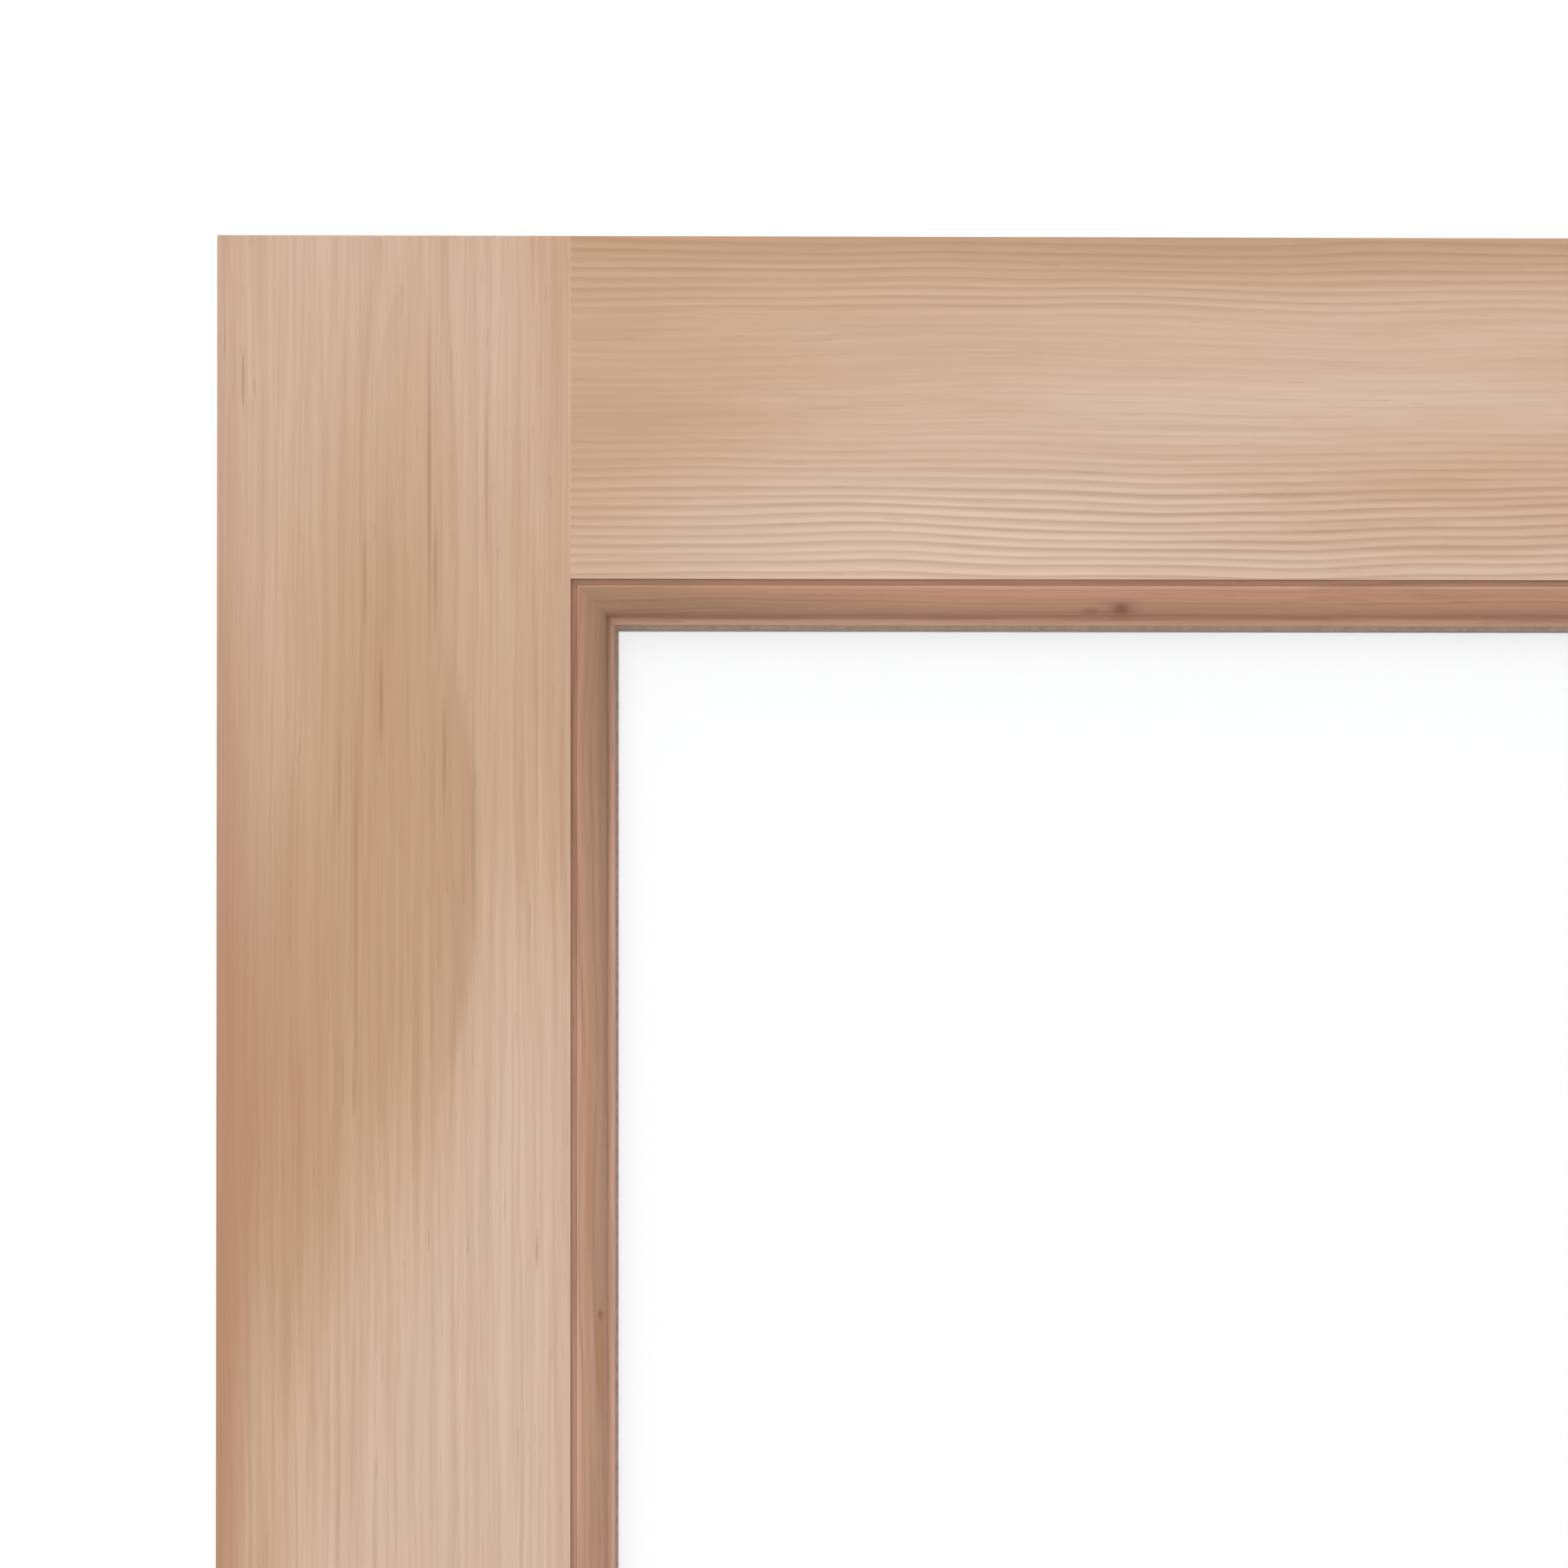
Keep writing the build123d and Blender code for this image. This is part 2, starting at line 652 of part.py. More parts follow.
def catch_case():
    """Faceplate and closed barrel that the plunger slides in."""
    mouth = (-LEAF_EDGE, CATCH_Y, CATCH_Z)
    behind_plate = (-LEAF_EDGE + FACEPLATE_GAUGE, CATCH_Y, CATCH_Z)
    bore = BARREL_RADIUS - BARREL_WALL
    case = faceplate_blank() + rod(mouth, INTO_LEAF_FROM_LATCH, BARREL_RADIUS, catch_depth())
    case -= rod(mouth, INTO_LEAF_FROM_LATCH, PLUNGER_NOSE_RADIUS + PLUNGER_CLEARANCE, FACEPLATE_GAUGE)
    case -= rod(behind_plate, INTO_LEAF_FROM_LATCH, bore, BARREL_LENGTH - BARREL_WALL)
    case -= [screw_hole(*place) for place in catch_screw_places()]
    return case


def catch_plunger():
    """Stepped plunger: forked nose for the roller, shoulder behind the faceplate, spring seat."""
    axis_start = (-LEAF_EDGE - PLUNGER_NOSE, CATCH_Y, CATCH_Z)
    shoulder = (-LEAF_EDGE + FACEPLATE_GAUGE, CATCH_Y, CATCH_Z)
    tail = -LEAF_EDGE - PLUNGER_NOSE + PLUNGER_LENGTH
    body_radius = BARREL_RADIUS - BARREL_WALL - PLUNGER_CLEARANCE
    body = rod(axis_start, INTO_LEAF_FROM_LATCH, PLUNGER_NOSE_RADIUS, PLUNGER_LENGTH)
    body += rod(shoulder, INTO_LEAF_FROM_LATCH, body_radius, tail - shoulder[0])
    slot_half = ROLLER_LENGTH / 2 + ROLLER_SIDE_GAP
    slot_end = roller_x() + ROLLER_RADIUS + ROLLER_SIDE_GAP
    slot_low = (axis_start[0], CATCH_Y - BARREL_RADIUS, CATCH_Z - slot_half)
    slot_high = (slot_end, CATCH_Y + BARREL_RADIUS, CATCH_Z + slot_half)
    body -= block(slot_low, slot_high)
    body -= rod((tail, CATCH_Y, CATCH_Z), (-1, 0, 0), SPRING_SEAT_RADIUS, SPRING_SEAT_DEPTH)
    pin_hole = ROLLER_PIN_RADIUS + PRESS_ROOM
    pin_low = (roller_x(), CATCH_Y, CATCH_Z - ROLLER_PIN_LENGTH)
    body -= rod(pin_low, (0, 0, 1), pin_hole, 2 * ROLLER_PIN_LENGTH)
    return body


def catch_roller():
    """Roller on an upright pin, standing out of the leaf's edge."""
    low = (roller_x(), CATCH_Y, CATCH_Z - ROLLER_LENGTH / 2)
    wheel = rod(low, (0, 0, 1), ROLLER_RADIUS, ROLLER_LENGTH)
    return wheel - rod(low, (0, 0, 1), ROLLER_PIN_RADIUS + PIN_CLEARANCE, ROLLER_LENGTH)


def catch_roller_pin():
    """Pin through the plunger's fork."""
    low = (roller_x(), CATCH_Y, CATCH_Z - ROLLER_PIN_LENGTH / 2)
    return rod(low, (0, 0, 1), ROLLER_PIN_RADIUS, ROLLER_PIN_LENGTH)


def catch_spring():
    """Coil spring from the plunger's seat to the end of the barrel."""
    tail = -LEAF_EDGE - PLUNGER_NOSE + PLUNGER_LENGTH
    start = tail - SPRING_SEAT_DEPTH + SPRING_END_GAP + SPRING_WIRE
    end = -LEAF_EDGE + catch_depth() - BARREL_WALL - SPRING_END_GAP - SPRING_WIRE
    length = end - start
    path = Helix(pitch=length / SPRING_TURNS, height=length, radius=SPRING_RADIUS)
    section = Plane(origin=path @ 0, z_dir=path % 0) * RegularPolygon(SPRING_WIRE, round(SPRING_WIRE_FLATS))
    wire = sweep(section, path=path, is_frenet=True)
    return Plane(origin=(start, CATCH_Y, CATCH_Z), z_dir=INTO_LEAF_FROM_LATCH) * wire


# Handles


def handle(face_y, outward):
    """Bow handle sawn from one board; outward is -1 on the outer face and 1 on the hot-room face."""
    half = HANDLE_LENGTH / 2
    top_half = HANDLE_TOP_LENGTH / 2
    gap_top = HANDLE_PROJECTION - HANDLE_BAR
    gap_half = half - HANDLE_FOOT
    top_right = (top_half, HANDLE_PROJECTION)
    top_left = (-top_half, HANDLE_PROJECTION)
    outer = Polygon((-half, 0), (half, 0), top_right, top_left, align=None)
    outer = fillet(outer.vertices().group_by(Axis.Y)[-1], HANDLE_OUTER_ROUND)
    narrow = gap_half - HANDLE_FOOT_SLOPE
    gap = Polygon((-gap_half, 0), (gap_half, 0), (narrow, gap_top), (-narrow, gap_top), align=None)
    gap = fillet(gap.vertices().group_by(Axis.Y)[-1], HANDLE_INNER_ROUND)
    bow = extrude(outer - gap, HANDLE_WIDTH / 2, both=True)
    sides = bow.faces().filter_by(Axis.Z)
    rim = sides.edges().filter_by(lambda edge: edge.center().Y > 0.01)
    bow = fillet(rim, HANDLE_EASE)
    across = Plane(origin=(HANDLE_X, face_y, CATCH_Z), x_dir=(0, 0, 1), z_dir=(-outward, 0, 0))
    return across * bow


def outer_handle():
    """Handle on the outer face, with brass inserts let into its feet."""
    grip = handle(FACE_Y, -1)
    for height in BOLT_HEIGHTS:
        grip -= rod((HANDLE_X, FACE_Y, height), (0, -1, 0), INSERT_RADIUS, INSERT_LENGTH)
    return grip


def inner_handle():
    """Handle on the hot-room face, counterbored for the bolts and their wooden plugs."""
    grip = handle(BACK_Y, 1)
    for height in BOLT_HEIGHTS:
        grip -= rod((HANDLE_X, BACK_Y, height), (0, 1, 0), BOLT_RADIUS + PIN_CLEARANCE, BOLT_SEAT)
        seat = (HANDLE_X, BACK_Y + BOLT_SEAT, height)
        grip -= rod(seat, (0, 1, 0), PLUG_RADIUS, HANDLE_PROJECTION - BOLT_SEAT)
    return grip


def handle_inserts():
    """Threaded brass inserts in the outer handle."""
    inserts = []
    for height in BOLT_HEIGHTS:
        start = (HANDLE_X, FACE_Y, height)
        insert = rod(start, (0, -1, 0), INSERT_RADIUS, INSERT_LENGTH)
        inserts.append(insert - rod(start, (0, -1, 0), BOLT_RADIUS + PIN_CLEARANCE, INSERT_LENGTH))
    return group(inserts)


def handle_bolts():
    """Socket-head bolts from the inner handle through the leaf into the inserts."""
    shank = BOLT_SEAT + LEAF_THICKNESS + BOLT_ENGAGEMENT
    profile = (
        (0, BOLT_SOCKET_DEPTH - BOLT_HEAD_HEIGHT),
        (BOLT_SOCKET_RADIUS, BOLT_SOCKET_DEPTH - BOLT_HEAD_HEIGHT),
        (BOLT_SOCKET_RADIUS, -BOLT_HEAD_HEIGHT),
        (BOLT_HEAD_RADIUS, -BOLT_HEAD_HEIGHT),
        (BOLT_HEAD_RADIUS, 0),
        (BOLT_RADIUS, 0),
        (BOLT_RADIUS, shank),
        (0, shank),
    )
    seat = BACK_Y + BOLT_SEAT
    return group(turned(profile, (HANDLE_X, seat, height), (0, -1, 0)) for height in BOLT_HEIGHTS)


def handle_plugs():
    """Wooden plugs over the bolt heads, flush with the handle."""
    base = BACK_Y + HANDLE_PROJECTION - PLUG_LENGTH
    radius = PLUG_RADIUS - PRESS_ROOM
    return group(rod((HANDLE_X, base, height), (0, 1, 0), radius, PLUG_LENGTH) for height in BOLT_HEIGHTS)


# Jamb


def side_jamb(side):
    """Side jamb with the rabbet for its head and the kerfs up its back; side is -1 at the latch."""
    outer = side * (JAMB_FACE + JAMB_THICKNESS)
    inner = side * JAMB_FACE
    front = FACE_Y
    back = -FACE_Y
    jamb = block((min(outer, inner), front, 0), (max(outer, inner), back, HEAD_TOP))
    rabbet = side * (JAMB_FACE + RABBET_DEPTH)
    jamb -= block((min(rabbet, inner), front, HEAD_FACE), (max(rabbet, inner), back, HEAD_TOP))
    kerf_floor = outer - side * KERF_DEPTH
    for offset in (-KERF_OFFSET, KERF_OFFSET):
        low = (min(outer, kerf_floor), offset - KERF_WIDTH / 2, 0)
        high = (max(outer, kerf_floor), offset + KERF_WIDTH / 2, HEAD_TOP)
        jamb -= block(low, high)
    jamb -= [screw_hole(*place) for place in head_screw_places(side) + sill_screw_places(side)]
    jamb -= side_stop_nails(side, nail_hole)
    flare = FIXING_COUNTERSINK - FIXING_RADIUS
    through = JAMB_THICKNESS
    mouth = FIXING_COUNTERSINK
    profile = ((0, 0), (mouth, 0), (FIXING_RADIUS, flare), (FIXING_RADIUS, through), (0, through))
    for height in fixing_heights():
        start = (inner, back - FIXING_SET_BACK, height)
        jamb -= turned(profile, start, (side, 0, 0))
    return jamb


def fixing_heights():
    """Heights of the fixing holes in each side jamb: a low pair and a high pair."""
    low = FIXING_LOW
    high = HEAD_FACE - FIXING_DROP
    return (low, low + FIXING_SPACING, high - FIXING_SPACING, high)


def head_screw_places(side):
    """Place, direction and size of the screws through one side jamb into the head."""
    height = (HEAD_FACE + HEAD_TOP) / 2
    places = []
    for step in (-1, 0, 1):
        start = (side * (JAMB_FACE + JAMB_THICKNESS), step * HEAD_SCREW_SPREAD, height)
        places.append((start, (-side, 0, 0), FRAME_SCREW_HEAD, FRAME_SCREW_SHANK, FRAME_SCREW_LENGTH))
    return places


def sill_screw_places(side):
    """Place, direction and size of the screws through one side jamb into the sill."""
    places = []
    for step in (-1, 1):
        start = (side * (JAMB_FACE + JAMB_THICKNESS), step * SILL_SCREW_SPREAD, SILL_HEIGHT / 2)
        places.append((start, (-side, 0, 0), FRAME_SCREW_HEAD, FRAME_SCREW_SHANK, FRAME_SCREW_LENGTH))
    return places


def hinge_jamb():
    """Side jamb that the hinges are let into."""
    jamb = side_jamb(1)
    for base in HINGE_BASES.values():
        jamb -= hinge_flap(1, base)
        jamb -= [screw_hole(*place) for place in hinge_screw_places(1, base)]
    return jamb


def latch_jamb():
    """Side jamb with the strike plate's recess and the pocket behind its window."""
    jamb = side_jamb(-1) - strike_blank()
    half_width = window_half_width() + STRIKE_POCKET_ROOM
    half_height = window_half_height() + STRIKE_POCKET_ROOM
    low = (-JAMB_FACE - STRIKE_POCKET_DEPTH, CATCH_Y - half_width, CATCH_Z - half_height)
    high = (-JAMB_FACE, CATCH_Y + half_width, CATCH_Z + half_height)
    jamb -= block(low, high)
    jamb -= [screw_hole(*place) for place in strike_screw_places()]
    return jamb


def head_jamb():
    """Head lying in the rabbets of both side jambs, flush with their tops."""
    reach = JAMB_FACE + RABBET_DEPTH
    head = block((-reach, FACE_Y, HEAD_FACE), (reach, -FACE_Y, HEAD_TOP))
    for side in (-1, 1):
        head -= [screw_hole(*place) for place in head_screw_places(side)]
    return head - head_stop_nails(nail_hole)


def sill():
    """Low sill with bevelled front and back edges."""
    front = FACE_Y
    back = -FACE_Y
    shoulder = SILL_HEIGHT - SILL_BEVEL_DROP
    outline = Polyline(
        (-JAMB_FACE, front, 0),
        (-JAMB_FACE, back, 0),
        (-JAMB_FACE, back, shoulder),
        (-JAMB_FACE, back - SILL_BEVEL_RUN, SILL_HEIGHT),
        (-JAMB_FACE, front + SILL_BEVEL_RUN, SILL_HEIGHT),
        (-JAMB_FACE, front, shoulder),
        close=True,
    )
    board = extrude(make_face(outline), 2 * JAMB_FACE, dir=(1, 0, 0))
    for side in (-1, 1):
        board -= [screw_hole(*place) for place in sill_screw_places(side)]
    return board


def side_stop(side):
    """Stop up a side jamb, from the sill to the head stop."""
    inner = side * (JAMB_FACE - STOP_THICKNESS)
    outer = side * JAMB_FACE
    low = (min(inner, outer), BACK_Y + STOP_GAP, SILL_HEIGHT)
    high = (max(inner, outer), BACK_Y + STOP_GAP + STOP_WIDTH, HEAD_FACE - STOP_THICKNESS)
    stop = block(low, high)
    halfway = JAMB_FACE - STOP_THICKNESS / 2
    shown = stop.edges().filter_by(Axis.Z).filter_by(lambda edge: abs(edge.center().X) < halfway)
    return chamfer(shown, STOP_EASE) - side_stop_nails(side, nail_hole)


def head_stop():
    """Stop across the head, over the side stops."""
    low = (-JAMB_FACE, BACK_Y + STOP_GAP, HEAD_FACE - STOP_THICKNESS)
    high = (JAMB_FACE, BACK_Y + STOP_GAP + STOP_WIDTH, HEAD_FACE)
    stop = block(low, high)
    halfway = HEAD_FACE - STOP_THICKNESS / 2
    shown = stop.edges().filter_by(Axis.X).filter_by(lambda edge: edge.center().Z < halfway)
    return chamfer(shown, STOP_EASE) - head_stop_nails(nail_hole)


def stop_middle():
    """Middle of the stops' width, through the doorway."""
    return BACK_Y + STOP_GAP + STOP_WIDTH / 2


def side_stop_nails(side, shape):
    """A pin or its bore at each place up a side stop, driven into the jamb."""
    start = side * (JAMB_FACE - STOP_THICKNESS + NAIL_SUNK)
    top = HEAD_FACE - STOP_THICKNESS - NAIL_END_DISTANCE
    heights = evenly(SILL_HEIGHT + NAIL_END_DISTANCE, top, NAIL_PITCH)
    return [shape((start, stop_middle(), height), (side, 0, 0), STOP_NAIL_LENGTH) for height in heights]


def head_stop_nails(shape):
    """A pin or its bore at each place along the head stop, driven up into the head."""
    start = HEAD_FACE - STOP_THICKNESS + NAIL_SUNK
    reach = JAMB_FACE - NAIL_END_DISTANCE
    places = evenly(-reach, reach, NAIL_PITCH)
    return [shape((x, stop_middle(), start), (0, 0, 1), STOP_NAIL_LENGTH) for x in places]


def all_stop_nails():
    """Pins of all three stops."""
    return group(side_stop_nails(-1, nail) + side_stop_nails(1, nail) + head_stop_nails(nail))


def frame_screws(places_for_side):
    """Screws through both side jambs."""
    screws = []
    for side in (-1, 1):
        screws += [screw(*place) for place in places_for_side(side)]
    return group(screws)


# Strike plate


def window_half_width():
    """Half the strike window: the roller's chord at the plate's face and a little room."""
    return math.sqrt(ROLLER_RADIUS**2 - (ROLLER_RADIUS - ROLLER_BITE) ** 2) + STRIKE_WINDOW_ROOM


def window_half_height():
    """Half the strike window's height."""
    return ROLLER_LENGTH / 2 + STRIKE_WINDOW_ROOM


def strike_blank():
    """Flat of the strike plate, flush in the jamb's face from its front edge."""
    low = (-JAMB_FACE - STRIKE_GAUGE, FACE_Y, CATCH_Z - STRIKE_HEIGHT / 2)
    high = (-JAMB_FACE, CATCH_Y + STRIKE_BACK, CATCH_Z + STRIKE_HEIGHT / 2)
    return block(low, high)


def strike_lip():
    """Curved lip in front of the jamb that leads the roller in."""
    centre = (-JAMB_FACE - LIP_RADIUS, FACE_Y)
    inside = LIP_RADIUS - STRIKE_GAUGE
    outer_arc = CenterArc(centre, LIP_RADIUS, 0, -LIP_SWEEP)
    inner_arc = CenterArc(centre, inside, 0, -LIP_SWEEP)
    ends = Line(outer_arc @ 0, inner_arc @ 0) + Line(outer_arc @ 1, inner_arc @ 1)
    section = make_face(outer_arc + inner_arc + ends)
    return Pos(0, 0, CATCH_Z) * extrude(section, LIP_HEIGHT / 2, both=True)


def strike_screw_places():
    """Place, direction and size of the two strike screws."""
    places = []
    for step in (-1, 1):
        start = (-JAMB_FACE, CATCH_Y, CATCH_Z + step * CATCH_SCREW_SPREAD)
        places.append((start, (-1, 0, 0), SMALL_SCREW_HEAD, SMALL_SCREW_SHANK, SMALL_SCREW_LENGTH))
    return places


def strike_plate():
    """Strike plate with a window that the roller drops into."""
    plate = strike_blank() + strike_lip()
    half_width = window_half_width()
    half_height = window_half_height()
    low = (-JAMB_FACE - STRIKE_GAUGE, CATCH_Y - half_width, CATCH_Z - half_height)
    high = (-JAMB_FACE, CATCH_Y + half_width, CATCH_Z + half_height)
    plate -= block(low, high)
    plate -= [screw_hole(*place) for place in strike_screw_places()]
    return plate


def leaf_pieces():
    """Every piece that swings with the leaf, drawn shut."""
    pieces = {
        "latch_stile": latch_stile(),
        "hinge_stile": hinge_stile(),
        "top_rail": top_rail(),
        "bottom_rail": bottom_rail(),
        "top_rail_dowels": dowels(top_rail_dowel_heights()),
        "bottom_rail_dowels": dowels(bottom_rail_dowel_heights()),
        "bead_top": bead("top"),
        "bead_bottom": bead("bottom"),
        "bead_latch_side": bead("latch_side"),
        "bead_hinge_side": bead("hinge_side"),
        "bead_nails": all_bead_nails(),
        "glass_outer_pane": glass_outer_pane(),
        "glass_inner_pane": glass_inner_pane(),
        "edge_seal": edge_seal(),
        "spacer_frame": spacer_frame(),
        "glazing_tape_outer": glazing_tape_outer(),
        "glazing_tape_inner": glazing_tape_inner(),
        "setting_blocks": setting_blocks(),
        "outer_handle": outer_handle(),
        "inner_handle": inner_handle(),
        "handle_inserts": handle_inserts(),
        "handle_bolts": handle_bolts(),
        "handle_plugs": handle_plugs(),
        "catch_case": catch_case(),
        "catch_screws": group(screw(*place) for place in catch_screw_places()),
        "catch_plunger": catch_plunger(),
        "catch_roller": catch_roller(),
        "catch_roller_pin": catch_roller_pin(),
        "catch_spring": catch_spring(),
        "hinge_leaf_screws": hinge_screws(-1),
    }
    for name, base in HINGE_BASES.items():
        pieces[f"hinge_{name}_leaf_plate"] = hinge_plate(-1, base)
    return pieces


def jamb_pieces():
    """Every piece that stays with the jamb."""
    pieces = {
        "hinge_jamb": hinge_jamb(),
        "latch_jamb": latch_jamb(),
        "head_jamb": head_jamb(),
        "sill": sill(),
        "hinge_stop": side_stop(1),
        "latch_stop": side_stop(-1),
        "head_stop": head_stop(),
        "stop_nails": all_stop_nails(),
        "head_screws": frame_screws(head_screw_places),
        "sill_screws": frame_screws(sill_screw_places),
        "strike_plate": strike_plate(),
        "strike_screws": group(screw(*place) for place in strike_screw_places()),
        "hinge_jamb_screws": hinge_screws(1),
    }
    for name, base in HINGE_BASES.items():
        pieces[f"hinge_{name}_jamb_plate"] = hinge_plate(1, base)
        pieces[f"hinge_{name}_pin"] = hinge_pin(base)
    return pieces


def main():
    """Build every piece, swing the leaf open and write one file for each."""
    os.makedirs("parts", exist_ok=True)
    pins = Axis((PIN_X, PIN_Y, 0), (0, 0, 1))
    pieces = {name: shape.rotate(pins, REST_OPENING) for name, shape in leaf_pieces().items()}
    pieces.update(jamb_pieces())
    for name, shape in pieces.items():
        export_step(shape, f"parts/{name}.step")


if __name__ == "__main__":
    main()
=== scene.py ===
import json
import math

import bmesh
import bpy
from mathutils import Color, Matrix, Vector

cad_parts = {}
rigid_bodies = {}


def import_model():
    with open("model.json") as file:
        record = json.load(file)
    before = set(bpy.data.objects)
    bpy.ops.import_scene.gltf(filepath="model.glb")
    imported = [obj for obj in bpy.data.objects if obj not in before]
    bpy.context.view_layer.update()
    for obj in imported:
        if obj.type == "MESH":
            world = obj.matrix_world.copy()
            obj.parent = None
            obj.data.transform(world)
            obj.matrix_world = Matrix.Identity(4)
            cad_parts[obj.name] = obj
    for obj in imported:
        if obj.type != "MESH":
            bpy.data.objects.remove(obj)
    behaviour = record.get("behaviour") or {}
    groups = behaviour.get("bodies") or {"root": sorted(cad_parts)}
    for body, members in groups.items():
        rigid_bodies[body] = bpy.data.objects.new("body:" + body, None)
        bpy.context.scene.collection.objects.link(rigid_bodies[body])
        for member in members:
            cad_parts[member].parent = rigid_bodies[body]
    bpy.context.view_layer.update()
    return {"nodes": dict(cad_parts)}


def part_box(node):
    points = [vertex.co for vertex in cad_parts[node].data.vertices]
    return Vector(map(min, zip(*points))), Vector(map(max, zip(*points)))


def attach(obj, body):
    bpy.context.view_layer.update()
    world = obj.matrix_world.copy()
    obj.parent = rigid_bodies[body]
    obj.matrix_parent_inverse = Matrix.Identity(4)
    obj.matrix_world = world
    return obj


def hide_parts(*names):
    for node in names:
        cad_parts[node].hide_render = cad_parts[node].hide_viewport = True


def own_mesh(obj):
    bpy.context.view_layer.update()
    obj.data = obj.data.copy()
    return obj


bl_info = {
    "name": "Prehung Sauna Door Finisher",
    "version": (1, 0, 0),
    "blender": (4, 5, 0),
    "location": "View3D > Sidebar > Sauna Door",
    "description": "Dresses the packed sauna door in wood, glass and metal and sets its stage",
    "category": "Object",
}

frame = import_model()
MM = 0.001
# How far a patch of colour reaches into a board, each way from the leaf's outer face
PATCH_DEPTH = 0.035

UPRIGHT_JAMB_NODES = ("latch_jamb", "hinge_jamb", "latch_stop", "hinge_stop")
LEVEL_JAMB_NODES = ("head_jamb", "sill", "head_stop")
HINGES = ("hinge_top", "hinge_middle", "hinge_bottom")

# Glazing bead in millimetres; the sink is from the frame's face to the crest
BEAD_WIDTH = 14.8
BEAD_THICKNESS = 11.5
BEAD_SINK = 1.5
BEAD_QUIRK_WIDTH = 2.0
BEAD_QUIRK_DEPTH = 1.2
BEAD_OVOLO_WIDTH = 10.0
BEAD_OVOLO_DROP = 5.6
BEAD_STEP = 1.0
BEAD_EDGE_ROUND = 0.35
BEAD_QUIRK_CORNER = 0.3
BEAD_STEP_CORNER = 0.25

# Bow handle in millimetres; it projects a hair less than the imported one
HANDLE_LENGTH = 300
HANDLE_TOP_LENGTH = 262
HANDLE_WIDTH = 30
HANDLE_PROJECTION = 49.99
HANDLE_GAP_DEPTH = 30
HANDLE_FOOT = 50
HANDLE_FOOT_SLOPE = 14
HANDLE_OUTER_ROUND = 18
HANDLE_INNER_ROUND = 12
HANDLE_EASE = 4.0
PLUG_CROWN = 1.0

# Hinge pin in millimetres
PIN_RADIUS = 3.0
PIN_TIP = 1.5
PIN_HEAD_HEIGHT = 3.0
PIN_HEAD_CROWN = 1.2
PIN_HEAD_NECK = 0.5

# Roller and spring of the catch in millimetres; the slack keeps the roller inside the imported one
ROLLER_SLACK = 0.01
ROLLER_ROUND = 1.0
ROLLER_BORE = 1.3
ROLLER_DISH = 0.4
ROLLER_RIM = 2.2
ROLLER_RIM_SLOPE = 0.3
SPRING_RADIUS = 3.3
SPRING_WIRE = 0.45
SPRING_TURNS = 6.0

# Screws in millimetres: head radius, shank radius and length; the cross suits the usual head
SCREWS = {
    "hinge_leaf_screws": (4.0, 2.1, 30.0),
    "hinge_jamb_screws": (4.0, 2.1, 16.0),
    "catch_screws": (3.1, 1.6, 16.0),
    "strike_screws": (3.1, 1.6, 16.0),
    "head_screws": (4.2, 2.2, 50.0),
    "sill_screws": (4.2, 2.2, 50.0),
}
USUAL_HEAD = 4.0

# Screws as shares of their own radii, head height and length
RECESS_REACH = 1.25
RECESS_DEPTH = 1.3
SHANK_START = 0.9
THREAD_CORE = 0.80
THREAD_START = 0.32
SMOOTH_END = 0.3
TIP_TAPER = 2.2

# Distances in metres within which corners count as one, or as level with each other
WELD = 0.000002
LEVEL = 0.0001
SCREW_END = 0.0002

# Edges sharper than this many degrees stay crisp
CREASE_ANGLE = 32

BRUSHED_METAL = {"metallic": 1.0, "grain": (900, 900, 40), "depth": 0.00002}


def colour_setting(name, wearer, default):
    """A colour as a paint chart gives it, and what wears it."""
    limits = {"min": 0.0, "max": 1.0, "subtype": "COLOR_GAMMA"}
    description = "Colour of " + wearer
    return bpy.props.FloatVectorProperty(name=name, description=description, default=default, **limits)


def length_setting(name, description, default):
    """A length in metres."""
    return bpy.props.FloatProperty(name=name, description=description, default=default, unit="LENGTH")


def share_setting(name, description, default):
    """A share of one."""
    limits = {"min": 0.0, "max": 1.0, "subtype": "FACTOR"}
    return bpy.props.FloatProperty(name=name, description=description, default=default, **limits)


def level_setting(name, description, default):
    """A strength of light."""
    return bpy.props.FloatProperty(name=name, description=description, default=default, min=0.0)


def angle_setting(name, description, degrees):
    """An angle, given here in degrees."""
    angle = math.radians(degrees)
    return bpy.props.FloatProperty(name=name, description=description, default=angle, subtype="ANGLE")


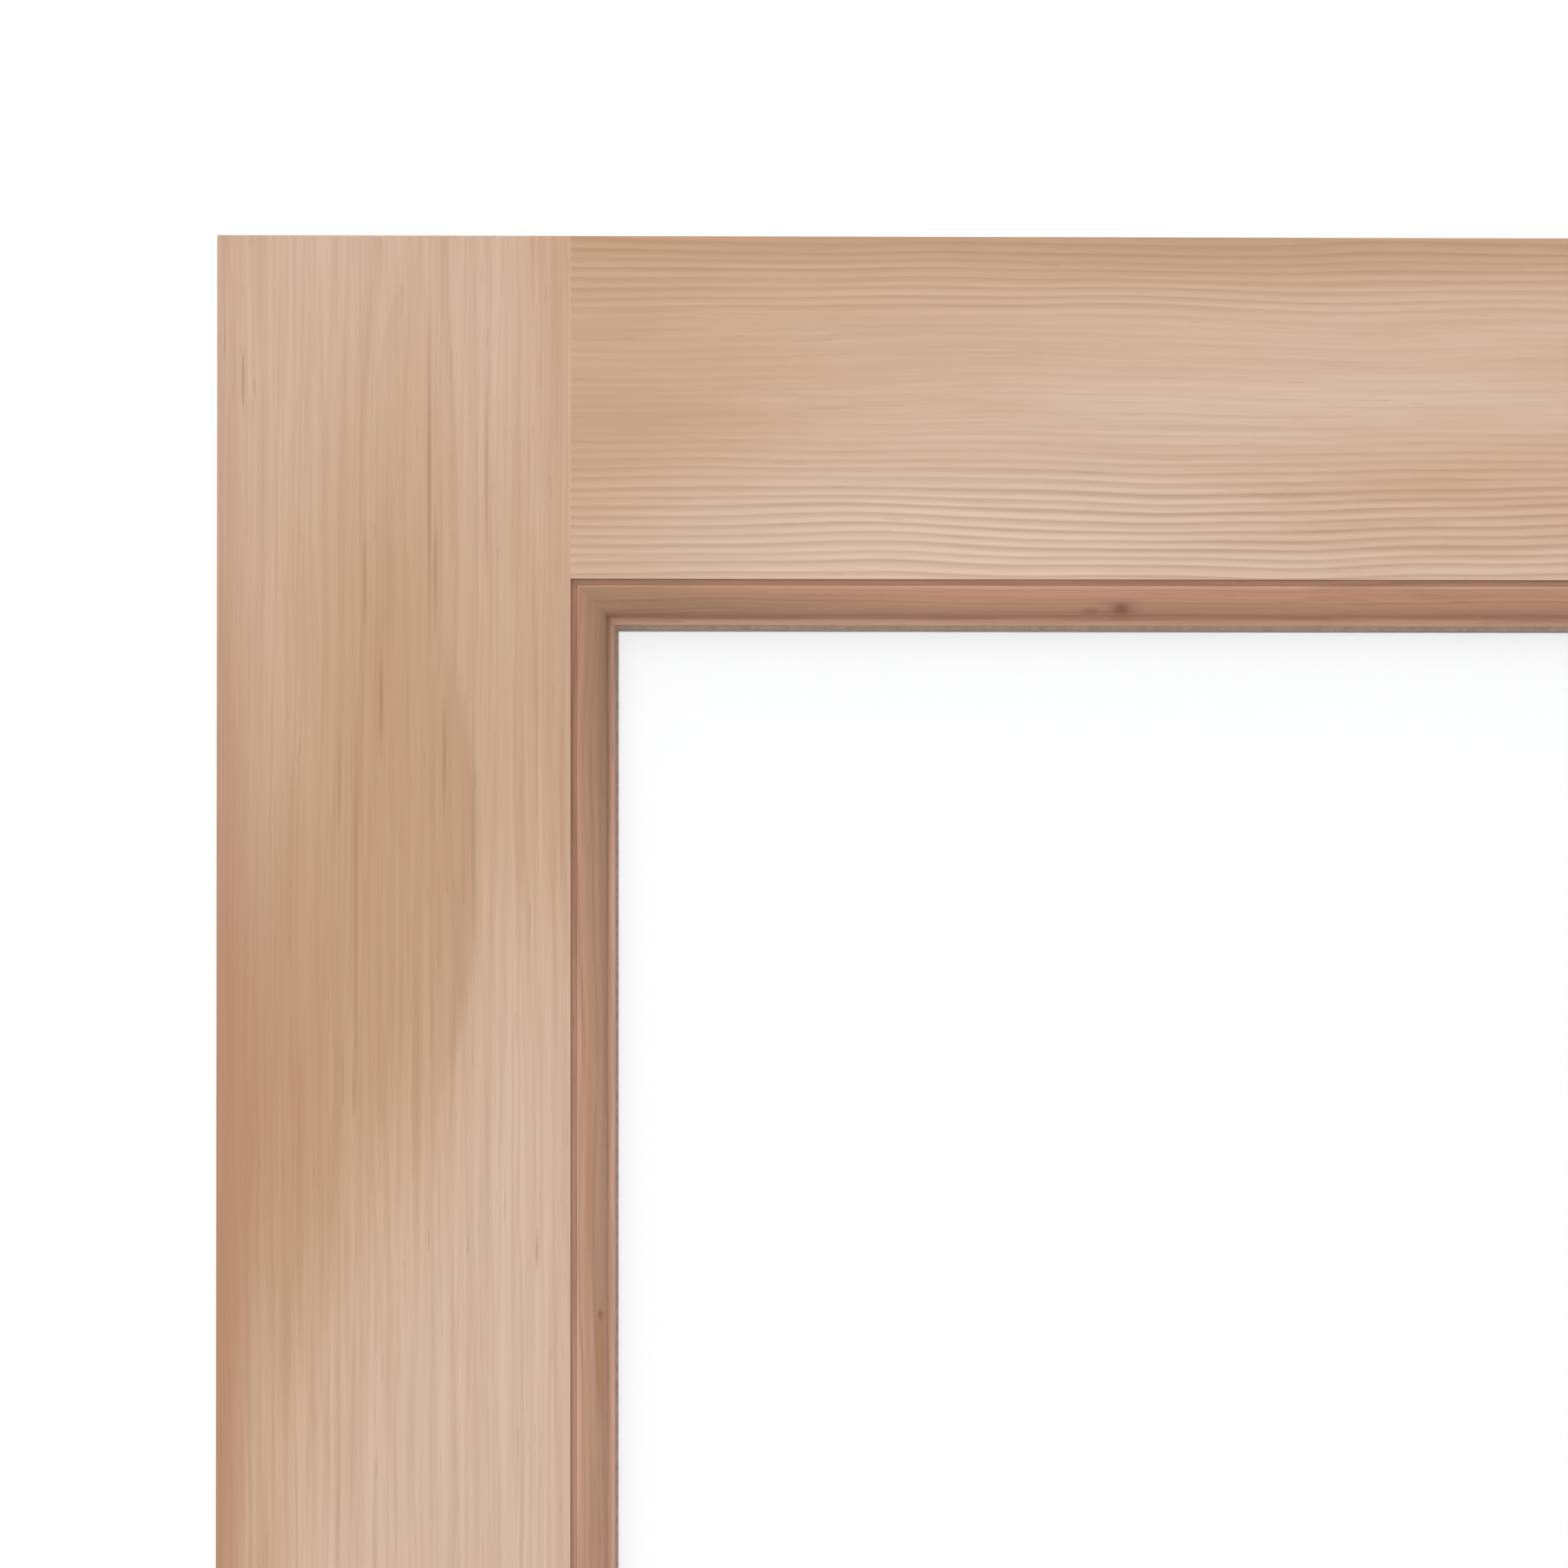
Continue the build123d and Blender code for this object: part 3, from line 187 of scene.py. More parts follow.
class SaunaDoorWood(bpy.types.PropertyGroup):
    """Colours and grain of the wooden pieces."""

    pine: colour_setting("Pine", "the stiles, rails, jambs and handles", (0.785, 0.652, 0.545))
    pine_pale: colour_setting("Pale pine", "the palest clouds in the pine", (0.835, 0.722, 0.638))
    pine_light: colour_setting("Light pine", "the lightest wood, low on the top rail", (0.875, 0.775, 0.700))
    pine_dark: colour_setting("Late wood", "the pine's growth lines", (0.620, 0.450, 0.325))
    pine_brown: colour_setting("Heart pine", "the yellow-brown heart patch", (0.742, 0.600, 0.462))
    pine_red: colour_setting("Reddish pine", "the latch stile's darker outer edge", (0.705, 0.530, 0.418))
    bead: colour_setting("Bead wood", "the redder glazing beads", (0.735, 0.550, 0.455))
    # The brown bead colour also paints shade on the top bead's ovolo, and the pale one paints highlights in
    # the beads' quirks and on their fillets
    bead_brown_and_painted_shade: colour_setting("Brown bead wood", "the browner parts of the beads", (0.635, 0.500, 0.400))
    bead_pale_and_painted_light: colour_setting("Pale bead wood", "the paler parts of the beads", (0.800, 0.640, 0.545))
    bead_dark: colour_setting("Bead late wood", "the growth lines in the beads", (0.520, 0.355, 0.265))
    bead_orange: colour_setting("Bead streak", "the orange streaks in the beads", (0.690, 0.470, 0.310))
    bead_knot: colour_setting("Bead knot", "the small knot in the top bead", (0.530, 0.340, 0.300))
    ring_width: length_setting("Ring width", "Usual distance between two growth lines", 0.0030)
    fibre_width: length_setting("Fibre width", "Width of the finest streaks along the grain", 0.0007)
    waviness: length_setting("Waviness", "How far the growth lines wander from straight", 0.004)


class SaunaDoorGlass(bpy.types.PropertyGroup):
    """Finish of the two panes and what holds them."""

    tint: colour_setting("Glass", "the clear glass", (0.998, 1.0, 1.0))
    outer_clearness: share_setting("Outer clearness", "Light that passes a face of the outer pane", 0.88)
    inner_clearness: share_setting("Inner clearness", "Light that passes a face of the inner pane", 0.98)
    tape: colour_setting("Glazing tape", "the tape's edge beside the beads", (0.78, 0.69, 0.62))
    blocks: colour_setting("Setting blocks", "the blocks under the panes", (0.20, 0.20, 0.20))
    seal: colour_setting("Edge seal", "the sealant round the panes", (0.15, 0.15, 0.16))
    spacer: colour_setting("Spacer", "the metal spacer between the panes", (0.82, 0.82, 0.81))


class SaunaDoorHardware(bpy.types.PropertyGroup):
    """Colours and sizes of the metal and plastic pieces."""

    steel: colour_setting("Satin steel", "the hinges, the catch and the strike plate", (0.78, 0.77, 0.75))
    bright: colour_setting("Bright steel", "the screws, pins and bolts", (0.74, 0.74, 0.74))
    brass: colour_setting("Brass", "the threaded inserts", (0.80, 0.67, 0.40))
    nylon: colour_setting("Nylon", "the catch's roller", (0.90, 0.89, 0.85))
    recess_width: length_setting("Recess width", "Width of each arm of the cross in a screw head", 0.0011)
    thread_pitch: length_setting("Thread pitch", "Distance between two turns of a screw's thread", 0.0018)
    edge_round: length_setting("Edge round", "Radius on the edges of the metal plates", 0.0003)


class SaunaDoorStage(bpy.types.PropertyGroup):
    """Camera and light."""

    view_distance: length_setting("View distance", "Distance from the camera to the middle of its view", 5.0)
    view_width: length_setting("View width", "Width of what the picture shows at the leaf", 0.5071)
    view_in: length_setting("View in", "Distance from the leaf's free edge to the picture's centre", 0.1833)
    view_down: length_setting("View down", "Distance from the leaf's top to the picture's centre", 0.1774)
    view_left: angle_setting("View left", "Turn of the camera to the left of square on", 2.2)
    view_below: angle_setting("View below", "Tilt of the camera below square on", 1.7)
    sky_level: level_setting("Sky level", "Even light from all round", 0.46)
    key_level: level_setting("Key level", "Soft lamp in front; at 1 a white surface shows white", 0.50)
    fill_level: level_setting("Fill level", "Soft lamp behind; at 1 a white surface shows white", 0.38)
    floor: colour_setting("Floor", "the floor", (0.93, 0.93, 0.925))
    floor_pale: colour_setting("Pale floor", "the floor's paler specks", (0.945, 0.945, 0.945))


def shade(colour):
    """Returns a painted colour as the four numbers that a shader takes."""
    return [*Color(colour[:3]).from_srgb_to_scene_linear(), 1.0]


class NodeTree:
    """Adds nodes to one tree and links them, in few words."""

    def __init__(self, tree):
        self.tree = tree

    def add(self, kind, inputs=None, **settings):
        """Adds a node, sets its settings, and joins or sets its inputs."""
        node = self.tree.nodes.new(kind)
        for name, value in settings.items():
            setattr(node, name, value)
        for key, value in (inputs or {}).items():
            self.join(value, node.inputs[key])
        return node

    def join(self, value, socket):
        """Links a socket in, or sets a plain value."""
        if isinstance(value, bpy.types.NodeSocket):
            self.tree.links.new(value, socket)
        else:
            socket.default_value = value

    def calc(self, operation, *values):
        """Returns the result of one Math node."""
        return self.made("ShaderNodeMath", dict(enumerate(values)), operation=operation)

    def made(self, kind, inputs=None, **settings):
        """Adds a node and returns its first output."""
        return self.add(kind, inputs, **settings).outputs[0]

    def xyz(self, x=0.0, y=0.0, z=0.0):
        """Returns a vector put together from three numbers."""
        return self.made("ShaderNodeCombineXYZ", {0: x, 1: y, 2: z})

    def parts(self, vector):
        """Returns a vector's three numbers, by the names X, Y and Z."""
        return self.add("ShaderNodeSeparateXYZ", {0: vector}).outputs

    def vector(self, operation, first, second):
        """Returns the result of one Vector Math node on two vectors."""
        return self.made("ShaderNodeVectorMath", {0: first, 1: second}, operation=operation)

    def scaled(self, vector, factor):
        """Returns a vector times a number."""
        return self.made("ShaderNodeVectorMath", {0: vector, "Scale": factor}, operation="SCALE")

    def length(self, vector):
        """Returns a vector's length."""
        return self.add("ShaderNodeVectorMath", {0: vector}, operation="LENGTH").outputs["Value"]

    def turn(self, vector, location=(0, 0, 0), rotation=(0, 0, 0), scale=(1, 1, 1), kind="POINT"):
        """Returns a vector moved, turned and stretched by a Mapping node."""
        places = {"Vector": vector, "Location": location, "Rotation": rotation, "Scale": scale}
        return self.made("ShaderNodeMapping", places, vector_type=kind)

    def noise(self, vector, scale=1.0, detail=2.0, roughness=0.5):
        """Returns the grey output of a noise texture."""
        values = {"Vector": vector, "Scale": scale, "Detail": detail, "Roughness": roughness}
        return self.made("ShaderNodeTexNoise", values)

    def streaky(self, place, across, along, **settings):
        """Returns a noise of so many cells a metre across a board and along it."""
        return self.noise(self.turn(place, scale=(across, across, along)), **settings)

    def ripple(self, value, scale, detail):
        """Returns a grey noise along one line."""
        values = {"W": value, "Scale": scale, "Detail": detail}
        return self.made("ShaderNodeTexNoise", values, noise_dimensions="1D")

    def fade(self, value, low, high, start=0.0, end=1.0):
        """Returns a smooth step from start to end as the value goes from low to high."""
        values = {0: value, 1: low, 2: high, 3: start, 4: end}
        return self.made("ShaderNodeMapRange", values, interpolation_type="SMOOTHSTEP")

    def tint(self, factor, below, above, share=1.0):
        """Returns one colour laid over another by a share of a factor."""
        if share != 1.0:
            factor = self.calc("MULTIPLY", factor, share)
        # A colour mix takes its colours at inputs 6 and 7 and gives the result at output 2
        values = {0: factor, 6: below, 7: above}
        return self.add("ShaderNodeMix", values, data_type="RGBA").outputs[2]

    def patch(self, place, centre, half, softness):
        """Returns a soft oval patch: 1 inside, 0 outside."""
        local = self.turn(place, location=centre, scale=half, kind="TEXTURE")
        return self.fade(self.length(local), 1.0 - softness, 1.0 + softness, start=1.0, end=0.0)


def new_material(name):
    """Makes a material and returns it with its tree and its main shader."""
    material = bpy.data.materials.new(name)
    material.use_nodes = True
    return material, NodeTree(material.node_tree), material.node_tree.nodes["Principled BSDF"]


def object_place(tree):
    """Returns the object coordinates."""
    return tree.add("ShaderNodeTexCoord").outputs["Object"]


def set_surface(tree, shader, colour, roughness):
    """Gives a shader its colour and its roughness."""
    tree.join(colour, shader.inputs["Base Color"])
    tree.join(roughness, shader.inputs["Roughness"])


def set_bump(tree, shader, height, distance, strength=1.0):
    """Gives a shader a bump of a real depth."""
    values = {"Strength": strength, "Distance": distance, "Height": height}
    tree.join(tree.made("ShaderNodeBump", values), shader.inputs["Normal"])


# Wood: the grain group works in board coordinates, with x through the board, y across it and z along it.


def grain_group():
    """Node group that gives growth lines, fibres, streaks, flecks and clouds at a place in a board."""
    if "board_grain" in bpy.data.node_groups:
        return bpy.data.node_groups["board_grain"]
    group = bpy.data.node_groups.new("board_grain", "ShaderNodeTree")
    face = group.interface
    face.new_socket("Place", in_out="INPUT", socket_type="NodeSocketVector")
    face.new_socket("Pith", in_out="INPUT", socket_type="NodeSocketVector")
    for name in ("Lean", "Ring Width", "Evenness", "Waviness", "Fibre Width"):
        face.new_socket(name, in_out="INPUT", socket_type="NodeSocketFloat")
    for name in ("Rings", "Fibres", "Streaks", "Flecks", "Clouds"):
        face.new_socket(name, in_out="OUTPUT", socket_type="NodeSocketFloat")
    face.new_socket("Ragged Place", in_out="OUTPUT", socket_type="NodeSocketVector")
    tree = NodeTree(group)
    given = tree.add("NodeGroupInput").outputs
    place = given["Place"]

    slow = tree.turn(place, scale=(11.0, 11.0, 5.0))
    wander = tree.add("ShaderNodeTexNoise", {"Vector": slow, "Scale": 1.0, "Detail": 2.0}).outputs["Color"]
    reach = tree.calc("MULTIPLY", given["Waviness"], 4.0)
    drift = tree.scaled(tree.vector("SUBTRACT", wander, (0.5, 0.5, 0.5)), reach)
    moved = tree.vector("ADD", place, drift)
    parts = tree.parts(tree.vector("SUBTRACT", moved, given["Pith"]))
    lean = tree.calc("MULTIPLY_ADD", parts["Z"], given["Lean"], parts["X"])
    radius = tree.length(tree.xyz(lean, parts["Y"]))
    count = tree.calc("DIVIDE", radius, given["Ring Width"])

    uneven = tree.ripple(count, scale=0.31, detail=1.0)
    loose = tree.calc("MULTIPLY_ADD", given["Evenness"], -2.4, 3.0)
    year = tree.calc("FRACT", tree.calc("MULTIPLY_ADD", uneven, loose, count))
    darkening = tree.fade(year, 0.15, 0.80)
    paling = tree.fade(year, 0.80, 1.0, start=1.0, end=0.0)
    line = tree.calc("MULTIPLY", darkening, paling)
    faintest = tree.calc("MULTIPLY_ADD", given["Evenness"], 0.45, 0.25)
    unlike = tree.ripple(count, scale=0.83, detail=0.0)
    strength = tree.fade(unlike, 0.3, 0.7, start=faintest, end=1.0)
    rings = tree.calc("MULTIPLY", line, strength)

    thin = tree.calc("DIVIDE", 1.0, given["Fibre Width"])
    stretch = tree.xyz(thin, thin, tree.calc("MULTIPLY", thin, 0.012))
    fibres = tree.noise(tree.vector("MULTIPLY", moved, stretch), scale=0.5, detail=4.0, roughness=0.65)
    streaks = tree.streaky(moved, across=420.0, along=11.0, roughness=0.6)
    specks = tree.streaky(moved, across=1100.0, along=60.0, detail=1.0)
    flecks = tree.fade(specks, 0.68, 0.80)
    clouds = tree.streaky(place, across=24.0, along=4.0, detail=3.0, roughness=0.55)

    along = tree.calc("MULTIPLY_ADD", streaks, 0.08, -0.04)
    across = tree.calc("MULTIPLY_ADD", clouds, 0.012, -0.006)
    ragged = tree.vector("ADD", place, tree.xyz(0.0, across, along))

    values = {"Rings": rings, "Fibres": fibres, "Streaks": streaks, "Flecks": flecks, "Clouds": clouds}
    leave = tree.add("NodeGroupOutput")
    for name, value in {**values, "Ragged Place": ragged}.items():
        tree.join(value, leave.inputs[name])
    return group


def board_grain(tree, place, wood, pith, lean=0.0, spacing=1.0, waviness=1.0, evenness=0.0):
    """Adds the grain group for one board and returns its outputs."""
    node = tree.add("ShaderNodeGroup", node_tree=grain_group())
    values = {
        "Place": place,
        "Pith": pith,
        "Lean": lean,
        "Ring Width": wood.ring_width * spacing,
        "Evenness": evenness,
        "Waviness": wood.waviness * waviness,
        "Fibre Width": wood.fibre_width,
    }
    for name, value in values.items():
        tree.join(value, node.inputs[name])
    return node.outputs


def lay_grain(tree, shader, grain, colour, dark, rings, fibres=0.20, streaks=0.20, flecks=0.25):
    """Lays the grain over a board's colour by the shares given, and gives it roughness and bump."""
    colour = tree.tint(grain["Rings"], colour, dark, rings)
    colour = tree.tint(tree.fade(grain["Streaks"], 0.40, 0.75), colour, dark, streaks)
    colour = tree.tint(tree.fade(grain["Fibres"], 0.38, 0.75), colour, dark, fibres)
    colour = tree.tint(grain["Flecks"], colour, dark, flecks)
    set_surface(tree, shader, colour, tree.fade(grain["Fibres"], 0.2, 0.8, start=0.50, end=0.64))
    shader.inputs["Specular IOR Level"].default_value = 0.3
    relief = tree.calc("MULTIPLY_ADD", grain["Rings"], 0.35, grain["Fibres"])
    set_bump(tree, shader, relief, distance=0.00006, strength=0.6)


def clouded_pine(tree, grain, wood):
    """Returns the pine's colour, with its paler clouds."""
    return tree.tint(tree.fade(grain["Clouds"], 0.35, 0.68), shade(wood.pine_pale), shade(wood.pine))


def upright(tree):
    """Board coordinates of a board that stands, its width along y."""
    return object_place(tree)


def level(tree):
    """Board coordinates of a level board that runs along y."""
    return tree.turn(object_place(tree), rotation=(math.pi / 2, 0, 0))


def level_in_wall(tree):
    """Board coordinates of a level board that runs along x."""
    return tree.turn(object_place(tree), rotation=(0, -math.pi / 2, 0))


def plain_board(name, place_for, wood, pith, lean=0.01, spacing=1.0, rings=0.34):
    """Even pine with soft clouds and a little heart colour."""
    material, tree, shader = new_material(name)
    grain = board_grain(tree, place_for(tree), wood, pith, lean, spacing)
    colour = clouded_pine(tree, grain, wood)
    warm = tree.streaky(grain["Ragged Place"], across=9.0, along=1.1)
    colour = tree.tint(tree.fade(warm, 0.45, 0.70), colour, shade(wood.pine_brown), share=0.6)
    aside = tree.turn(grain["Ragged Place"], location=(3, 3, 3), scale=(13.0, 13.0, 0.9))
    red = tree.fade(tree.noise(aside), 0.55, 0.75)
    colour = tree.tint(red, colour, shade(wood.pine_red), share=0.4)
    lay_grain(tree, shader, grain, colour, shade(wood.pine_dark), rings)
    return material


def leaf_corner():
    """Free top corner of the leaf's outer face, from which the picture's marks are measured."""
    low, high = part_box("latch_stile")
    return Vector((high.x, low.y, high.z))


def upright_spot(inward, down):
    """Board coordinates of a place on an upright board, in millimetres from the leaf's corner."""
    return leaf_corner() + Vector((0, inward, -down)) * MM


def level_spot(inward, down):
    """Board coordinates of a place on a level board, in millimetres from the leaf's corner."""
    spot = upright_spot(inward, down)
    return Vector((spot.x, -spot.z, spot.y))


def lay_patches(tree, place, spot, colour, patches):
    """Lays soft patches of colour: colour, centre, half width and half length, softness, share."""
    for patch_colour, centre, half, softness, share in patches:
        size = (PATCH_DEPTH, half[0] * MM, half[1] * MM)
        cover = tree.patch(place, spot(*centre), size, softness)
        colour = tree.tint(cover, colour, shade(patch_colour), share)
    return colour


def latch_stile_wood(wood):
    """Wood of the latch stile: a yellow-brown heart island, a redder outer edge and long thin streaks."""
    material, tree, shader = new_material("latch_stile_wood")
    place = upright(tree)
    pith = (0.235, -0.614, 1.75)
    grain = board_grain(tree, place, wood, pith, lean=0.001, spacing=0.6, waviness=0.3)
    colour = clouded_pine(tree, grain, wood)
    patches = (
        (wood.pine_pale, (26, 52), (26, 62), 0.8, 0.8),
        (wood.pine_brown, (54, 200), (36, 135), 0.8, 0.85),
        (wood.pine_brown, (22, 290), (26, 95), 0.8, 0.75),
        (wood.pine_brown, (104, 150), (16, 70), 0.8, 0.35),
        (wood.pine_red, (0, 350), (9, 200), 0.7, 0.95),
        (wood.pine_red, (16, 268), (16, 70), 0.8, 0.45),
        (wood.pine_red, (4, 120), (6, 90), 0.8, 0.30),
        (wood.pine_pale, (103, 372), (30, 135), 0.6, 0.95),
        (wood.pine_pale, (109, 45), (9, 60), 0.8, 0.20),
        (wood.pine_pale, (62, 410), (30, 85), 0.7, 0.85),
    )
    colour = lay_patches(tree, grain["Ragged Place"], upright_spot, colour, patches)
    heart = tree.patch(place, upright_spot(60, 203), (PATCH_DEPTH, 24.0 * MM, 88 * MM), 0.07)
    inward = tree.parts(place)["Y"]
    heart = tree.calc("MULTIPLY", heart, tree.fade(inward, upright_spot(64, 0).y, upright_spot(85, 0).y))
    colour = tree.tint(heart, colour, shade(wood.pine_red), share=0.40)
    dark = wood.pine_dark
    streaks = (
        (dark, (8.3, 47), (0.45, 9), 0.6, 0.55),
        (dark, (68.5, 78), (0.6, 38), 0.8, 0.48),
        (dark, (70.5, 108), (0.6, 16), 0.8, 0.50),
        (dark, (87, 77), (0.5, 26), 0.8, 0.35),
        (dark, (47.7, 112), (0.5, 13), 0.8, 0.45),
        (dark, (53, 150), (0.6, 14), 0.8, 0.60),
        (dark, (73.5, 167), (0.6, 14), 0.8, 0.50),
        (dark, (83, 190), (0.8, 30), 0.8, 0.30),
        (dark, (78, 232), (0.7, 22), 0.8, 0.25),
        (dark, (39.5, 177), (0.5, 13), 0.8, 0.30),
        (dark, (45, 215), (0.6, 46), 0.8, 0.45),
        (dark, (44.3, 276), (0.5, 8), 0.8, 0.40),
        (dark, (103.5, 328), (0.5, 5), 0.8, 0.45),
    )
    colour = lay_patches(tree, place, upright_spot, colour, streaks)
    shares = {"rings": 0.16, "fibres": 0.20, "streaks": 0.17, "flecks": 0.30}
    lay_grain(tree, shader, grain, colour, shade(wood.pine_dark), **shares)
    return material


def top_rail_wood(wood):
    """Wood of the top rail: a brown upper edge, a calm middle and wavy lines towards its lower edge."""
    material, tree, shader = new_material("top_rail_wood")
    place = level(tree)
    grain = board_grain(tree, place, wood, (0.20, -1.70, 0.0), spacing=0.98, evenness=1.0)
    colour = clouded_pine(tree, grain, wood)
    patches = (
        (wood.pine_brown, (250, -2), (17, 360), 0.7, 0.48),
        (wood.pine_red, (360, 0), (11, 170), 0.8, 0.40),
        (wood.pine_brown, (120, 70), (40, 45), 0.7, 0.38),
        (wood.pine_brown, (190, 26), (12, 150), 0.8, 0.30),
        (wood.pine_light, (250, 100), (26, 110), 0.8, 0.80),
    )
    colour = lay_patches(tree, grain["Ragged Place"], level_spot, colour, patches)
    parts = tree.parts(place)
    down = parts["Y"]
    strongest = tree.fade(parts["Z"], level_spot(150, 0).z, level_spot(300, 0).z, start=0.34, end=0.44)
    lower = tree.fade(down, level_spot(0, 59).y, level_spot(0, 87).y, start=0.07, end=strongest)
    upper = tree.fade(down, level_spot(0, 19).y, level_spot(0, 29).y, start=0.26, end=0.0)
    shares = {"rings": tree.calc("ADD", lower, upper), "fibres": 0.13, "streaks": 0.11, "flecks": 0.20}
    lay_grain(tree, shader, grain, colour, shade(wood.pine_dark), **shares)
    return material


def bead_wood(name, place_for, wood, pith, spot=None, patches=()):
    """Redder wood of the glazing beads, mottled brown, with streaks of its own and the given patches, among
    them painted highlights and painted shade.
    """
    material, tree, shader = new_material(name)
    place = place_for(tree)
    grain = board_grain(tree, place, wood, pith, lean=0.01, spacing=0.8)
    mottle = tree.streaky(grain["Ragged Place"], across=60.0, along=6.0)
    colour = tree.tint(tree.fade(mottle, 0.38, 0.64), shade(wood.bead), shade(wood.bead_brown_and_painted_shade))
    colour = lay_patches(tree, place, spot, colour, patches)
    shares = {"rings": 0.22, "fibres": 0.22, "streaks": 0.22, "flecks": 0.30}
    lay_grain(tree, shader, grain, colour, shade(wood.bead_dark), **shares)
    return material


# Glass, metal and plastic


def glass_material(name, tint, clearness):
    """Clear glass with a trace of haze, so that it takes soft shade beside the beads."""
    material, tree, shader = new_material(name)
    haze = tree.noise(object_place(tree), scale=3.0)
    hazier = [channel * 0.995 for channel in tint]
    colour = tree.tint(haze, shade(tint), shade(hazier))
    set_surface(tree, shader, colour, tree.fade(haze, 0.2, 0.8, start=0.0, end=0.01))
    set_bump(tree, shader, haze, distance=0.00001, strength=0.05)
    shader.inputs["Transmission Weight"].default_value = clearness
    shader.inputs["IOR"].default_value = 1.5
    clear = tree.add("ShaderNodeBsdfTransparent")
    light = tree.add("ShaderNodeLightPath").outputs["Is Shadow Ray"]
    both = tree.add("ShaderNodeMixShader", {0: light, 1: shader.outputs[0], 2: clear.outputs[0]})
    out = next(node for node in tree.tree.nodes if node.type == "OUTPUT_MATERIAL")
    tree.join(both.outputs[0], out.inputs["Surface"])
    return material


def plain_finish(name, colour, roughness, metallic=0.0, grain=(300, 300, 300), depth=0.00003, contrast=0.12):
    """Even finish with fine speckle or brushing: metal, plastic, rubber or tape."""
    material, tree, shader = new_material(name)
    speckle = tree.noise(tree.turn(object_place(tree), scale=grain), detail=3.0, roughness=0.6)
    darker = [channel * (1 - contrast) for channel in colour]
    speckled = tree.tint(tree.fade(speckle, 0.3, 0.75), shade(colour), shade(darker))
    uneven = tree.fade(speckle, 0.25, 0.75, start=roughness * 0.8, end=roughness * 1.25)
    set_surface(tree, shader, speckled, uneven)
    shader.inputs["Metallic"].default_value = metallic
    set_bump(tree, shader, speckle, distance=depth, strength=0.5)
    return material


# Meshes


def dress(material, *nodes):
    """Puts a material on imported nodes."""
    for node in nodes:
        target = frame["nodes"][node]
        for holder in target.material_slots:
            holder.material = material


def box_of(node):
    """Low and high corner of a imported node's box, and the middle between them."""
    low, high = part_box(node)
    return low, high, (low + high) / 2


def body_of(node):
    """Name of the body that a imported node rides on."""
    return frame["nodes"][node].parent.name.split(":")[-1]


def link_piece(name, mesh, material):
    """Gives a finished mesh its shading, its material and an object in the scene."""
    mesh.shade_smooth()
    mesh.set_sharp_from_angle(angle=math.radians(CREASE_ANGLE))
    mesh.materials.clear()
    mesh.materials.append(material)
    piece = bpy.data.objects.new(name, mesh)
    bpy.context.scene.collection.objects.link(piece)
    return piece


def shaped_piece(node, ending, bm, material):
    """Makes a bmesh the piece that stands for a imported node."""
    name = node + ending
    return stand_for(link_piece(name, mesh_from(name, bm), material), node)


def stand_for(piece, node):
    """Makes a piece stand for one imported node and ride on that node's body."""
    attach(piece, body_of(node))
    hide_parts(node)
    return piece


def mesh_from(name, bm):
    """Turns a bmesh into a mesh."""
    mesh = bpy.data.meshes.new(name)
    bm.to_mesh(mesh)
    bm.free()
    return mesh


def merged_node(node):
    """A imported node's mesh with its loose triangles joined."""
    bm = bmesh.new()
    bm.from_mesh(frame["nodes"][node].data)
    bmesh.ops.remove_doubles(bm, verts=bm.verts, dist=WELD)
    return bm


def eased_copy(node, material, radius):
    """Copy of a metal piece with its flats made whole and its edges rounded."""
    bm = merged_node(node)
    bmesh.ops.dissolve_limit(bm, angle_limit=math.radians(0.5), verts=bm.verts, edges=bm.edges)
    piece = link_piece(node + "_eased", mesh_from(node + "_eased", bm), material)
    bevel = piece.modifiers.new("edges", "BEVEL")
    bevel.width = radius
    bevel.segments = 2
    bevel.limit_method = "ANGLE"
    bevel.angle_limit = math.radians(40)
    flats = piece.modifiers.new("even_flats", "WEIGHTED_NORMAL")
    flats.keep_sharp = True
    return stand_for(piece, node)


def arc(centre, radius, start, end, steps=10):
    """Points on an arc, angles in degrees."""
    points = []
    for index in range(steps + 1):
        angle = math.radians(start + (end - start) * index / steps)
        points.append((centre[0] + radius * math.cos(angle), centre[1] + radius * math.sin(angle)))
    return points


def rounded(points, radii, steps=8):
    """Outline with each corner rounded by its own radius."""
    result = []
    count = len(points)
    for index, radius in enumerate(radii):
        corner = Vector(points[index])
        back = (Vector(points[index - 1]) - corner).normalized()
        ahead = (Vector(points[(index + 1) % count]) - corner).normalized()
        if radius == 0:
            result.append(tuple(corner))
            continue
        half = back.angle(ahead) / 2
        centre = corner + (back + ahead).normalized() * radius / math.sin(half)
        start = corner + back * radius / math.tan(half) - centre
        end = corner + ahead * radius / math.tan(half) - centre
        for step in range(steps + 1):
            spoke = start.lerp(end, step / steps).normalized() * radius
            result.append(tuple(centre + spoke))
    return result


def swept(rows):
    """Closed solid through rows of points, capped at both ends, as a bmesh."""
    bm = bmesh.new()
    rings = [[bm.verts.new(point) for point in row] for row in rows]
    count = len(rings[0])
    for low, high in zip(rings, rings[1:]):
        for index in range(count):
            after = (index + 1) % count
            bm.faces.new((low[index], low[after], high[after], high[index]))
    bm.faces.new(rings[0])
    bm.faces.new(reversed(rings[-1]))
    bmesh.ops.recalc_face_normals(bm, faces=bm.faces)
    return bm


